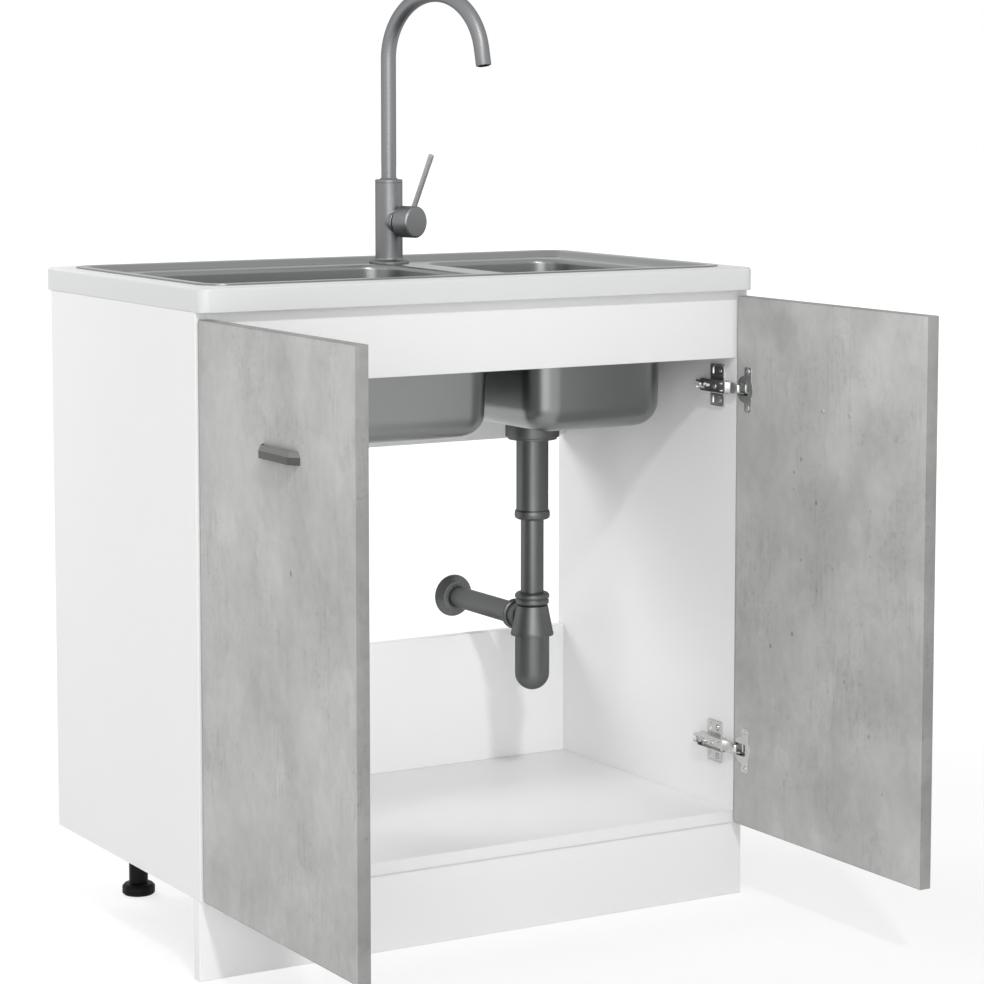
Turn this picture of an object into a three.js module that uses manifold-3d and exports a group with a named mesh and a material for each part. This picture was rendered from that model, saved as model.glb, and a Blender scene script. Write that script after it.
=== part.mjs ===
// A freestanding sink base cabinet: a white carcass with two hinged doors, an inset double bowl
// sink, a single lever mixer tap and a bottle trap under each bowl.
// Millimetres, +Z up. X runs to the right, Y from the doors to the wall, and the origin is the
// centre of the plinth board's lower face, so the carcass front lies a little in front of it.

import * as THREE from 'three';
import { mergeVertices } from 'three/addons/utils/BufferGeometryUtils.js';
import Module from 'manifold-3d';

const wasm = await Module();
wasm.setup();

// Sizes of the carcass

const CARCASS = {
  width: 800,
  depth: 445,
  board: 16,
  sideHeight: 715,
  fasciaHeight: 90,
  backTopHeight: 235,
  backLowHeight: 186,
};

const PLINTH = { height: 100, setBack: 4 };

const LEG = {
  fromSide: 100,
  frontInset: 60,
  backInset: 33,
  footRadius: 22,
  footHeight: 15,
  footChamfer: 3,
  tubeRadius: 12.6,
  flangeRadius: 28,
  flangeHeight: 4,
  flangeTaper: 4,
  stemRadius: 6,
  stemReach: 55,
  stemSpareBore: 10,
};

// Sizes of the worktop and the sink

const WORKTOP = {
  thick: 30,
  frontOverhang: 18,
  backOverhang: 21,
  cornerRadius: 13,
  edgeRound: 4,
};

const SINK = {
  sideMargin: 22,
  frontMargin: 30,
  backMargin: 26,
  cornerRadius: 35,
  sheet: 2,
  rimWidth: 14,
  rimRound: 1,
  slopeWidth: 9,
  deckDrop: 8,
  cutoutInset: 12,
};

const BOWL = {
  frontFromSinkFront: 45,
  backFromSinkBack: 57,
  sideFromSinkSide: 44,
  dividerWidth: 38,
  smallBowlWidth: 230,
  depth: 206,
  cornerRadius: 48,
  smallestCorner: 4,
  mouthRound: 8,
  floorRadius: 45,
  wallDraft: 6,
  drainFromBack: 136,
};

// Sizes of the drain under each bowl, from the waste cup down to the bottle

const DRAIN = { holeRadius: 33 };

const STRAINER = {
  rimRadius: 41,
  rimThick: 1.5,
  plugRadius: 31,
  plugDepth: 12,
  knobRadius: 7,
  knobNeckRadius: 3.5,
  knobHeight: 12,
  knobCapHeight: 5,
};

const WASTE_CUP = { radius: 37, height: 29, wall: 4, floor: 4, shoulder: 6 };

const TAIL_PIPE = {
  radius: 22,
  length: 110,
  beadRadius: 24.4,
  beadHeight: 13,
  beadTaper: 3,
};

const DROP_PIPE = { radius: 15.7, wall: 1.7, sleeveOverlap: 60, reachBelowNut: 68 };

const TRAP = {
  nutRadius: 23.7,
  nutHeight: 17,
  nutTaper: 3.5,
  neckToCup: 212,
  bodyHeight: 42,
  bodyTopRadius: 21.7,
  bodyLowRadius: 28.8,
  lipRadius: 29.4,
  lipHeight: 4,
  bodyWall: 3,
  outletDrop: 20,
  outletRadius: 17,
  outletLength: 41,
};

const BOTTLE = { radius: 23.6, wall: 2, engaged: 5, length: 81.5 };

const OUTLET = {
  pipeRadius: 15,
  pipeWall: 2,
  pipeStart: 29,
  collarRadius: 21,
  collarLength: 9,
  collarTaper: 2.5,
  wallGap: 21,
  flangeRadius: 30,
  flangeLength: 17,
  flangeRim: 3,
  flangeStepRadius: 20,
  flangeStepLength: 5,
};

// Sizes of the tap

const TAP = {
  fromLargeBowl: 8,
  fromSinkBack: 52,
  swivel: THREE.MathUtils.degToRad(17),
  flangeRadius: 27.5,
  flangeHeight: 3,
  flangeTaper: 2,
  flangeTopRadius: 24,
  bodyRadius: 18.8,
  bodyHeight: 115,
  bodyRound: 1.5,
  shankRadius: 16.5,
  shankLength: 45,
  lockNutRadius: 25,
  lockNutHeight: 10,
  socketDepth: 28,
};

const SPOUT = {
  radius: 10.3,
  riseToArc: 278,
  arcRadius: 87,
  arcTurn: THREE.MathUtils.degToRad(170),
  endLength: 24,
  arcSteps: 20,
  mouthRadius: 8.6,
  mouthDepth: 14,
};

const AERATOR = { radius: 8.2, length: 12, proud: 1 };

const LEVER = {
  axisHeight: 58,
  bossRadius: 16,
  bossLength: 19,
  cartridgeRadius: 13,
  cartridgeStart: 3,
  cartridgeLength: 25,
  pivotReach: 33,
  pivotRadius: 2,
  pivotHalfWidth: 8,
  earInner: 4,
  earHeight: 4,
  tongueHalfWidth: 3.5,
  tongueRadius: 3.9,
  capStart: 25.5,
  capLength: 27.5,
  capRadius: 21.6,
  capChamfer: 2,
  capWall: 3.6,
  capFloor: 12,
  pinFromCapFront: 4.6,
  pinRadius: 3.75,
  pinLength: 80,
  pinSeat: 3,
  pinRound: 1,
  pinLean: THREE.MathUtils.degToRad(25),
};

// Sizes of the doors, their hinges and handles

const DOOR = {
  thick: 16,
  aboveUnderside: 1,
  belowTop: 8,
  sideGap: 2,
  betweenDoors: 2,
  closedGap: 4,
  openTurn: THREE.MathUtils.degToRad(90),
};

const HINGE = {
  lowFromDoorFoot: 102,
  topFromDoorHead: 122,
  pinInset: 7.6,
  pinDepth: 8.6,
  pinRadius: 1.5,
  pinHalfLength: 7.3,
  eyeRadius: 2.2,
  armHalfHeight: 5,
};

const HINGE_CUP = {
  radius: 17.5,
  depth: 12.2,
  wall: 1,
  inset: 19,
  flangeThick: 1.2,
  flangeRadius: 18.3,
  wingWidth: 15.5,
  wingHalfHeight: 30,
  wingOffset: 6.6,
  screwRise: 24,
  screwRadius: 3.6,
  screwHeight: 0.8,
  lugThick: 2,
  lugReach: 3.4,
};

const HINGE_ARM = {
  thick: 2.6,
  neckReach: 15,
  neckHalfHeight: 7,
  neckStart: -2,
  bodyStart: 8,
  bodyEnd: 76,
  bodyHalfHeight: 8,
  bodyThick: 7,
  screwPlaces: [32, 60],
  screwRadius: 3.4,
  screwHeight: 0.8,
};

const HINGE_PLATE = {
  thick: 2.5,
  wingStart: 25,
  wingEnd: 57,
  wingHalfHeight: 28.5,
  railStart: 16,
  railEnd: 72,
  railHalfHeight: 8,
  screwRise: 20,
  screwRadius: 4,
  screwHeight: 1.4,
};

const HANDLE = {
  fromHingeEdge: 216,
  creaseFromDoorHead: 136.2,
  length: 98,
  flatLength: 75,
  standOff: 10,
  strip: 3.5,
  belowCrease: 8.8,
  aboveCrease: 6.7,
  postRise: 1.2,
  postSpacing: 56,
  postRadius: 4,
  screwRadius: 2,
  screwHeadRadius: 3.8,
  screwHeadHeight: 1.8,
};

// Clearances and how finely round things are divided

const FIT = { turning: 0.3, drilled: 0.2, cut: 1 };

const SIDES = { small: 12, pipe: 16, wide: 20, corner: 5, roll: 3, floor: 4 };

// Colours of the finishes

const FINISH = {
  white: { color: 0xeeeeec, roughness: 0.55, metalness: 0 },
  concrete: { color: 0xbababa, roughness: 0.7, metalness: 0 },
  steel: { color: 0xa9abab, roughness: 0.32, metalness: 1 },
  tapSteel: { color: 0x8f9090, roughness: 0.36, metalness: 1 },
  drainSteel: { color: 0x777a7a, roughness: 0.34, metalness: 1 },
  handleMetal: { color: 0x8c8e8e, roughness: 0.4, metalness: 1 },
  nickel: { color: 0xc4c6c6, roughness: 0.25, metalness: 1 },
  black: { color: 0x101010, roughness: 0.5, metalness: 0 },
};

// Heights and depths that several pieces share

const carcassTop = PLINTH.height + CARCASS.sideHeight;
const halfWidth = CARCASS.width / 2;
const innerHalf = halfWidth - CARCASS.board;
const worktopTop = carcassTop + WORKTOP.thick;
const worktopFront = -WORKTOP.frontOverhang;
const worktopBack = CARCASS.depth + WORKTOP.backOverhang;

const sinkPlan = {
  x0: -halfWidth + SINK.sideMargin,
  x1: halfWidth - SINK.sideMargin,
  y0: worktopFront + SINK.frontMargin,
  y1: worktopBack - SINK.backMargin,
  radius: SINK.cornerRadius,
};
const rimTop = worktopTop + SINK.sheet;
const deckTop = rimTop - SINK.deckDrop;
const bowlFloor = deckTop - BOWL.depth;
const bowlUnderside = bowlFloor - SINK.sheet;
const bowlFront = sinkPlan.y0 + BOWL.frontFromSinkFront;
const bowlBack = sinkPlan.y1 - BOWL.backFromSinkBack;
const drainY = bowlBack - BOWL.drainFromBack;

// Where each bowl's mouth lies across the cabinet: the large bowl is on the left.
const smallBowlEnd = sinkPlan.x1 - BOWL.sideFromSinkSide;
const smallBowlStart = smallBowlEnd - BOWL.smallBowlWidth;
const largeBowlStart = sinkPlan.x0 + BOWL.sideFromSinkSide;
const largeBowlEnd = smallBowlStart - BOWL.dividerWidth;
const bowlSpans = {
  left: { from: largeBowlStart, to: largeBowlEnd },
  right: { from: smallBowlStart, to: smallBowlEnd },
};

const cupFoot = bowlUnderside - WASTE_CUP.height;
const tailFoot = cupFoot - TAIL_PIPE.length;
const nutTop = cupFoot - TRAP.neckToCup;
const nutFoot = nutTop - TRAP.nutHeight;
const trapFoot = nutFoot - TRAP.bodyHeight;
const outletHeight = nutFoot - TRAP.outletDrop;
const bottleTop = trapFoot + BOTTLE.engaged;

const tapPlace = { x: largeBowlEnd + TAP.fromLargeBowl, y: sinkPlan.y1 - TAP.fromSinkBack };

// The hinge pins stand in front of the carcass, inside the cups.
const hingePin = {
  x: -halfWidth + DOOR.sideGap + HINGE.pinInset,
  y: -DOOR.closedGap - HINGE.pinDepth,
};
const doorFoot = PLINTH.height + DOOR.aboveUnderside;
const doorHead = carcassTop - DOOR.belowTop;
const doorWidth = halfWidth - DOOR.sideGap - DOOR.betweenDoors / 2;

// Making solids

function material(finish) {
  return new THREE.MeshStandardMaterial(finish);
}

// A closed geometry as a solid that can be joined and cut.
function toSolid(geometry) {
  const bare = geometry.clone();
  bare.deleteAttribute('normal');
  bare.deleteAttribute('uv');
  const merged = mergeVertices(bare);
  const corners = merged.index.array;
  const kept = [];
  for (let i = 0; i < corners.length; i += 3) {
    const [a, b, c] = [corners[i], corners[i + 1], corners[i + 2]];
    if (a !== b && b !== c && c !== a) kept.push(a, b, c);
  }
  return new wasm.Manifold(new wasm.Mesh({
    numProp: 3,
    vertProperties: Float32Array.from(merged.attributes.position.array),
    triVerts: Uint32Array.from(kept),
  }));
}

function toGeometry(solid) {
  const mesh = solid.getMesh();
  const geometry = new THREE.BufferGeometry();
  geometry.setAttribute('position', new THREE.BufferAttribute(mesh.vertProperties, 3));
  geometry.setIndex(new THREE.BufferAttribute(mesh.triVerts, 1));
  geometry.computeVertexNormals();
  return geometry;
}

function addPiece(parent, name, solid, finish) {
  const mesh = new THREE.Mesh(toGeometry(solid), material(finish));
  mesh.name = name;
  parent.add(mesh);
  return mesh;
}

function block(x0, x1, y0, y1, z0, z1) {
  const geometry = new THREE.BoxGeometry(Math.abs(x1 - x0), Math.abs(y1 - y0), Math.abs(z1 - z0));
  geometry.translate((x0 + x1) / 2, (y0 + y1) / 2, (z0 + z1) / 2);
  return toSolid(geometry);
}

function anticlockwise(outline) {
  const area = outline.reduce((sum, [x, y], i) => {
    const [nextX, nextY] = outline[(i + 1) % outline.length];
    return sum + x * nextY - nextX * y;
  }, 0);
  return area < 0 ? [...outline].reverse() : outline;
}

// A turned piece about the Z axis. The outline is a list of [radius, height], from the axis back
// to the axis, or, on a ring, closed on its own first point.
function turned(outline, sides = SIDES.pipe) {
  const path = anticlockwise(outline);
  const onAxis = path[0][0] === 0;
  const points = (onAxis ? path : [...path, path[0]]).map(([r, z]) => new THREE.Vector2(r, z));
  const geometry = new THREE.LatheGeometry(points, sides);
  geometry.rotateX(Math.PI / 2);
  return toSolid(geometry);
}

function rod(radius, z0, z1, sides = SIDES.pipe) {
  return turned([[0, z0], [radius, z0], [radius, z1], [0, z1]], sides);
}

// A plan outline of [x, y] points pulled up from z0 to z1.
function prism(outline, z0, z1) {
  const shape = new THREE.Shape(outline.map(([x, y]) => new THREE.Vector2(x, y)));
  const geometry = new THREE.ExtrudeGeometry(shape, { depth: z1 - z0, bevelEnabled: false });
  geometry.translate(0, 0, z0);
  return toSolid(geometry);
}

// An outline of [y, z] points pulled along X from x0 to x1.
function alongX(outline, x0, x1) {
  return prism(outline, x0, x1).rotate([90, 0, 90]);
}

// One level of a rounded rectangular shell: the plan grown outwards by grow, at the height z.
function level(plan, grow, z) {
  const radius = Math.max(plan.radius + grow, BOWL.smallestCorner);
  const inset = radius - grow;
  const centres = [
    [plan.x1 - inset, plan.y0 + inset, -Math.PI / 2],
    [plan.x1 - inset, plan.y1 - inset, 0],
    [plan.x0 + inset, plan.y1 - inset, Math.PI / 2],
    [plan.x0 + inset, plan.y0 + inset, Math.PI],
  ];
  return centres.flatMap(([cx, cy, start]) => Array.from({ length: SIDES.corner + 1 }, (_, i) => {
    const angle = start + (i / SIDES.corner) * (Math.PI / 2);
    return [cx + radius * Math.cos(angle), cy + radius * Math.sin(angle), z];
  }));
}

// A closed skin over levels that follow each other from the lowest to the highest.
function stack(levels) {
  const count = levels[0].length;
  const index = [];
  levels.slice(1).forEach((_, row) => {
    for (let i = 0; i < count; i += 1) {
      const [a, b] = [row * count + i, row * count + ((i + 1) % count)];
      index.push(a, b, b + count, a, b + count, a + count);
    }
  });
  const top = (levels.length - 1) * count;
  for (let i = 1; i < count - 1; i += 1) {
    index.push(0, i + 1, i);
    index.push(top, top + i, top + i + 1);
  }
  const geometry = new THREE.BufferGeometry();
  geometry.setAttribute('position', new THREE.Float32BufferAttribute(levels.flat(2), 3));
  geometry.setIndex(index);
  return toSolid(geometry);
}

// Points of a quarter turn, from the start of the bend (0) to its end (1).
function bend(steps) {
  return Array.from({ length: steps + 1 }, (_, i) => {
    const angle = (i / steps) * (Math.PI / 2);
    return { along: Math.sin(angle), across: 1 - Math.cos(angle) };
  });
}

function union(solids) {
  return solids.reduce((whole, solid) => whole.add(solid));
}

function moved(solid, x, y, z) {
  return solid.translate([x, y, z]);
}

// The carcass and its plinth

function addCarcass(parent) {
  const { board, depth } = CARCASS;
  const foot = PLINTH.height;
  const white = FINISH.white;
  addPiece(parent, 'side_panel_left', block(-halfWidth, -innerHalf, 0, depth, foot, carcassTop), white);
  addPiece(parent, 'side_panel_right', block(innerHalf, halfWidth, 0, depth, foot, carcassTop), white);
  const inside = (y0, y1, z0, z1) => block(-innerHalf, innerHalf, y0, y1, z0, z1);
  const floorTop = foot + board;
  const backFace = depth - board;
  addPiece(parent, 'bottom_panel', inside(0, depth, foot, floorTop), white);
  const fasciaFoot = carcassTop - CARCASS.fasciaHeight;
  const backTopFoot = carcassTop - CARCASS.backTopHeight;
  const backLowHead = floorTop + CARCASS.backLowHeight;
  addPiece(parent, 'front_top_rail', inside(0, board, fasciaFoot, carcassTop), white);
  addPiece(parent, 'back_top_rail', inside(backFace, depth, backTopFoot, carcassTop), white);
  addPiece(parent, 'back_low_rail', inside(backFace, depth, floorTop, backLowHead), white);
  const plinth = block(-halfWidth, halfWidth, PLINTH.setBack, PLINTH.setBack + board, 0, foot);
  addPiece(parent, 'plinth_board', plinth, white);
}

// The adjustable legs

function legSocket() {
  const top = PLINTH.height;
  const tubeFoot = LEG.footHeight + FIT.turning;
  const boreTop = tubeFoot + LEG.stemReach + LEG.stemSpareBore;
  const flangeFoot = top - LEG.flangeHeight;
  const bore = LEG.stemRadius + FIT.turning;
  return turned([
    [0, boreTop],
    [bore, boreTop],
    [bore, tubeFoot],
    [LEG.tubeRadius, tubeFoot],
    [LEG.tubeRadius, flangeFoot - LEG.flangeTaper],
    [LEG.flangeRadius, flangeFoot],
    [LEG.flangeRadius, top],
    [0, top],
  ]);
}

function legFoot() {
  const { footRadius, footHeight, footChamfer, stemRadius } = LEG;
  const stemTop = footHeight + LEG.stemReach;
  return turned([
    [0, 0],
    [footRadius - footChamfer, 0],
    [footRadius, footChamfer],
    [footRadius, footHeight - footChamfer],
    [footRadius - footChamfer, footHeight],
    [stemRadius, footHeight],
    [stemRadius, stemTop],
    [0, stemTop],
  ]);
}

function addLegs(parent) {
  const columns = { left: -halfWidth + LEG.fromSide, right: halfWidth - LEG.fromSide };
  const rows = { front: LEG.frontInset, back: CARCASS.depth - LEG.backInset };
  for (const [row, y] of Object.entries(rows)) {
    for (const [column, x] of Object.entries(columns)) {
      addPiece(parent, `leg_socket_${row}_${column}`, moved(legSocket(), x, y, 0), FINISH.black);
      addPiece(parent, `leg_foot_${row}_${column}`, moved(legFoot(), x, y, 0), FINISH.black);
    }
  }
}

// The worktop, a board with a large cut-out that the sink hangs in

function addWorktop(parent) {
  const plan = {
    x0: -halfWidth,
    x1: halfWidth,
    y0: worktopFront,
    y1: worktopBack,
    radius: WORKTOP.cornerRadius,
  };
  const round = WORKTOP.edgeRound;
  const shoulder = worktopTop - round;
  const edge = bend(SIDES.roll).map(({ along, across }) => level(
    plan,
    -round * across,
    shoulder + round * along,
  ));
  const board = stack([level(plan, 0, carcassTop), ...edge]);
  const inset = -SINK.cutoutInset;
  const cutout = stack([
    level(sinkPlan, inset, carcassTop - FIT.cut),
    level(sinkPlan, inset, worktopTop + FIT.cut),
  ]);
  addPiece(parent, 'worktop', board.subtract(cutout), FINISH.white);
}

// The sink

function bowlPlan(span) {
  return {
    x0: span.from,
    x1: span.to,
    y0: bowlFront,
    y1: bowlBack,
    radius: BOWL.cornerRadius,
  };
}

// A bowl's skin. The skin is 0 for the inner face, or the sheet's thickness for the outer face.
function bowlSolid(span, skin, mouth) {
  const plan = bowlPlan(span);
  const roll = BOWL.mouthRound;
  const floor = bowlFloor - skin;
  const floorRound = BOWL.floorRadius + skin;
  const wallTop = deckTop - roll;
  const wallShrink = BOWL.wallDraft;
  const below = bend(SIDES.floor).map(({ along, across }) => level(
    plan,
    skin - roll - wallShrink - floorRound * (1 - along),
    floor + floorRound * across,
  ));
  const above = bend(SIDES.roll).map(({ along, across }) => level(
    plan,
    skin - roll + (roll - skin) * across,
    wallTop + (roll - skin) * along,
  ));
  const lip = level(plan, 0, mouth);
  return stack([...below, ...above, lip]);
}

function addSink(parent) {
  const { sheet, rimWidth, slopeWidth, rimRound } = SINK;
  const slopeFoot = -rimWidth - slopeWidth;
  const rim = stack([
    level(sinkPlan, 0, worktopTop),
    level(sinkPlan, 0, rimTop - rimRound),
    level(sinkPlan, -rimRound, rimTop),
  ]);
  const pan = stack([level(sinkPlan, slopeFoot, deckTop - sheet), level(sinkPlan, -rimWidth, worktopTop)]);
  const recess = stack([
    level(sinkPlan, slopeFoot, deckTop),
    level(sinkPlan, -rimWidth, rimTop),
    level(sinkPlan, -rimWidth, rimTop + FIT.cut),
  ]);
  let sink = rim.add(pan);
  for (const span of Object.values(bowlSpans)) sink = sink.add(bowlSolid(span, sheet, deckTop - sheet / 2));
  sink = sink.subtract(recess);
  for (const span of Object.values(bowlSpans)) {
    const drain = rod(DRAIN.holeRadius, bowlUnderside - FIT.cut, bowlFloor + FIT.cut, SIDES.wide);
    sink = sink.subtract(bowlSolid(span, 0, deckTop + FIT.cut));
    sink = sink.subtract(moved(drain, (span.from + span.to) / 2, drainY, 0));
  }
  const tapHoleRadius = TAP.shankRadius + FIT.turning;
  const tapHole = rod(tapHoleRadius, deckTop - sheet - FIT.cut, deckTop + FIT.cut, SIDES.wide);
  sink = sink.subtract(moved(tapHole, tapPlace.x, tapPlace.y, 0));
  addPiece(parent, 'sink', sink, FINISH.steel);
}

// The drains: in each bowl a lift-out strainer, and below it a waste cup, pipes and a bottle trap

function strainer() {
  const { rimRadius, rimThick, plugRadius, plugDepth, knobRadius, knobNeckRadius } = STRAINER;
  const rimFace = bowlFloor + rimThick;
  const knobTop = rimFace + STRAINER.knobHeight;
  const knobFoot = knobTop - STRAINER.knobCapHeight;
  return turned([
    [0, bowlFloor - plugDepth],
    [plugRadius, bowlFloor - plugDepth],
    [plugRadius, bowlFloor],
    [rimRadius, bowlFloor],
    [rimRadius, rimFace],
    [knobNeckRadius, rimFace],
    [knobNeckRadius, knobFoot],
    [knobRadius, knobFoot],
    [knobRadius, knobTop],
    [0, knobTop],
  ]);
}

function wasteCup() {
  const { radius, wall, floor, shoulder } = WASTE_CUP;
  const outletBore = DROP_PIPE.radius + FIT.turning;
  return turned([
    [radius - wall, bowlUnderside],
    [radius - wall, cupFoot + floor],
    [outletBore, cupFoot + floor],
    [outletBore, cupFoot],
    [radius - shoulder, cupFoot],
    [radius, cupFoot + shoulder],
    [radius, bowlUnderside],
  ], SIDES.wide);
}

function tailPipe() {
  const { radius, beadRadius, beadHeight, beadTaper } = TAIL_PIPE;
  const bore = DROP_PIPE.radius + FIT.turning;
  const beadTop = tailFoot + beadHeight;
  return turned([
    [bore, cupFoot],
    [bore, tailFoot],
    [radius, tailFoot],
    [beadRadius, tailFoot + beadTaper],
    [beadRadius, beadTop - beadTaper],
    [radius, beadTop],
    [radius, cupFoot],
  ]);
}

function dropPipe() {
  const { radius, wall } = DROP_PIPE;
  const top = tailFoot + DROP_PIPE.sleeveOverlap;
  const foot = nutFoot - DROP_PIPE.reachBelowNut;
  return turned([[radius - wall, top], [radius - wall, foot], [radius, foot], [radius, top]]);
}

function trapNut() {
  const bore = DROP_PIPE.radius + FIT.turning;
  const outer = TRAP.nutRadius;
  const taper = TRAP.nutTaper;
  return turned([
    [bore, nutTop],
    [bore, nutFoot],
    [outer - taper, nutFoot],
    [outer, nutFoot + taper],
    [outer, nutTop - taper],
    [outer - taper, nutTop],
  ]);
}

// The trap's body, about its own axis, with its outlet towards the wall.
function trapBody() {
  const { bodyTopRadius, bodyLowRadius, lipRadius, lipHeight, bodyWall } = TRAP;
  const socket = BOTTLE.radius + FIT.turning;
  const shell = turned([
    [0, trapFoot],
    [lipRadius, trapFoot],
    [lipRadius, trapFoot + lipHeight],
    [bodyLowRadius, trapFoot + lipHeight],
    [bodyTopRadius, nutFoot],
    [0, nutFoot],
  ], SIDES.wide);
  const chamberTop = nutFoot - bodyWall;
  const chamberTopRadius = bodyTopRadius - bodyWall;
  const chamber = turned([
    [0, trapFoot - FIT.cut],
    [socket, trapFoot - FIT.cut],
    [socket, bottleTop + FIT.turning],
    [chamberTopRadius, bottleTop + FIT.turning],
    [chamberTopRadius, chamberTop],
    [0, chamberTop],
  ]);
  const outlet = rod(TRAP.outletRadius, 0, TRAP.outletLength)
    .rotate([-90, 0, 0])
    .translate([0, 0, outletHeight]);
  const outletBore = rod(OUTLET.pipeRadius + FIT.turning, 0, TRAP.outletLength + FIT.cut)
    .rotate([-90, 0, 0])
    .translate([0, 0, outletHeight]);
  const neck = rod(DROP_PIPE.radius + FIT.turning, chamberTop - FIT.cut, nutFoot + FIT.cut);
  return shell.add(outlet).subtract(chamber).subtract(outletBore).subtract(neck);
}

function bottle() {
  const { radius, wall, length } = BOTTLE;
  const foot = bottleTop - length;
  const curve = bend(SIDES.floor + 1);
  const cap = (r, z) => curve.map(({ along, across }) => [r * along, z + r * across]);
  const outside = cap(radius, foot);
  const inside = cap(radius - wall, foot + wall).reverse();
  return turned([...outside, [radius, bottleTop], [radius - wall, bottleTop], ...inside]);
}

// Pieces along the outlet are turned about Z and then laid towards the wall.
function alongOutlet(solid) {
  return solid.rotate([-90, 0, 0]).translate([0, drainY, outletHeight]);
}

function outletCollar() {
  const { collarRadius, collarLength, collarTaper } = OUTLET;
  const bore = OUTLET.pipeRadius + FIT.turning;
  const start = TRAP.outletLength;
  const end = start + collarLength;
  return alongOutlet(turned([
    [bore, start],
    [collarRadius - collarTaper, start],
    [collarRadius, start + collarTaper],
    [collarRadius, end - collarTaper],
    [collarRadius - collarTaper, end],
    [bore, end],
  ]));
}

function outletPipe() {
  const { pipeRadius, pipeWall, pipeStart, wallGap } = OUTLET;
  const end = CARCASS.depth + wallGap - drainY;
  return alongOutlet(turned([
    [pipeRadius - pipeWall, pipeStart],
    [pipeRadius, pipeStart],
    [pipeRadius, end],
    [pipeRadius - pipeWall, end],
  ]));
}

function wallFlange() {
  const { flangeRadius, flangeLength, flangeRim, flangeStepRadius, flangeStepLength } = OUTLET;
  const bore = OUTLET.pipeRadius + FIT.turning;
  const end = CARCASS.depth + OUTLET.wallGap - drainY;
  const stepEnd = end - flangeLength + flangeStepLength;
  return alongOutlet(turned([
    [bore, end - flangeLength],
    [flangeStepRadius, end - flangeLength],
    [flangeStepRadius, stepEnd],
    [flangeRadius, end - flangeRim],
    [flangeRadius, end],
    [bore, end],
  ], SIDES.wide));
}

function addDrains(parent) {
  const steel = FINISH.drainSteel;
  const pieces = {
    strainer: [strainer(), FINISH.steel],
    waste_cup: [wasteCup(), steel],
    tail_pipe: [tailPipe(), steel],
    drop_pipe: [dropPipe(), steel],
    trap_nut: [trapNut(), steel],
    trap_body: [trapBody(), steel],
    trap_bottle: [bottle(), steel],
  };
  const laid = { outlet_collar: outletCollar(), outlet_pipe: outletPipe(), wall_flange: wallFlange() };
  for (const [side, span] of Object.entries(bowlSpans)) {
    const x = (span.from + span.to) / 2;
    for (const [name, [solid, finish]] of Object.entries(pieces)) {
      addPiece(parent, `${name}_${side}`, moved(solid, x, drainY, 0), finish);
    }
    for (const [name, solid] of Object.entries(laid)) {
      addPiece(parent, `${name}_${side}`, moved(solid, x, 0, 0), steel);
    }
  }
}

// The tap, in a group of its own that stands on the sink's deck and is turned a little. Its spout
// and lever point along the group's -Y.

function tapBody() {
  const { flangeRadius, flangeHeight, flangeTaper, flangeTopRadius } = TAP;
  const { bodyRadius, bodyHeight, bodyRound } = TAP;
  const body = turned([
    [0, -TAP.shankLength],
    [TAP.shankRadius, -TAP.shankLength],
    [TAP.shankRadius, 0],
    [flangeRadius, 0],
    [flangeRadius, flangeHeight],
    [flangeTopRadius, flangeHeight + flangeTaper],
    [bodyRadius, flangeHeight + flangeTaper],
    [bodyRadius, bodyHeight - bodyRound],
    [bodyRadius - bodyRound, bodyHeight],
    [0, bodyHeight],
  ], SIDES.wide);
  const boss = towardsFront(rod(LEVER.bossRadius, 0, LEVER.bossLength, SIDES.wide));
  const bore = rod(
    LEVER.cartridgeRadius + FIT.turning,
    LEVER.cartridgeStart - FIT.turning,
    LEVER.bossLength + FIT.cut,
  );
  const socket = rod(SPOUT.radius + FIT.turning, bodyHeight - TAP.socketDepth, bodyHeight + FIT.cut);
  return body.add(boss).subtract(towardsFront(bore)).subtract(socket);
}

function tapLockNut() {
  const { shankRadius, lockNutRadius, lockNutHeight } = TAP;
  const face = -SINK.sheet;
  const bore = shankRadius + FIT.turning;
  const foot = face - lockNutHeight;
  return turned([[bore, foot], [lockNutRadius, foot], [lockNutRadius, face], [bore, face]], SIDES.wide);
}

// The spout, a tube bent in one plane: straight up out of the body, over the arc and down again.
function spoutRing(centre, lean) {
  return Array.from({ length: SIDES.pipe }, (_, i) => {
    const angle = (i / SIDES.pipe) * Math.PI * 2;
    const across = SPOUT.radius * Math.cos(angle);
    const along = SPOUT.radius * Math.sin(angle);
    return [across, centre.y + along * Math.cos(lean), centre.z + along * Math.sin(lean)];
  });
}

function arcPoint(lean) {
  return {
    y: -SPOUT.arcRadius * (1 - Math.cos(lean)),
    z: SPOUT.riseToArc + SPOUT.arcRadius * Math.sin(lean),
  };
}

function spoutMouth() {
  const { y, z } = arcPoint(SPOUT.arcTurn);
  return {
    y: y - SPOUT.endLength * Math.sin(SPOUT.arcTurn),
    z: z + SPOUT.endLength * Math.cos(SPOUT.arcTurn),
  };
}

// A solid turned about Z, pointed out of the spout's mouth.
function atMouth(solid) {
  const { y, z } = spoutMouth();
  return moved(solid.rotate([THREE.MathUtils.radToDeg(SPOUT.arcTurn), 0, 0]), 0, y, z);
}

function spout() {
  const foot = TAP.bodyHeight - TAP.socketDepth + FIT.turning;
  const arc = Array.from({ length: SPOUT.arcSteps + 1 }, (_, i) => {
    const lean = (i / SPOUT.arcSteps) * SPOUT.arcTurn;
    return spoutRing(arcPoint(lean), lean);
  });
  const tube = stack([
    spoutRing({ y: 0, z: foot }, 0),
    ...arc,
    spoutRing(spoutMouth(), SPOUT.arcTurn),
  ]);
  return tube.subtract(atMouth(rod(SPOUT.mouthRadius, -SPOUT.mouthDepth, FIT.cut)));
}

function aerator() {
  return atMouth(rod(AERATOR.radius, AERATOR.proud - AERATOR.length, AERATOR.proud));
}

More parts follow.
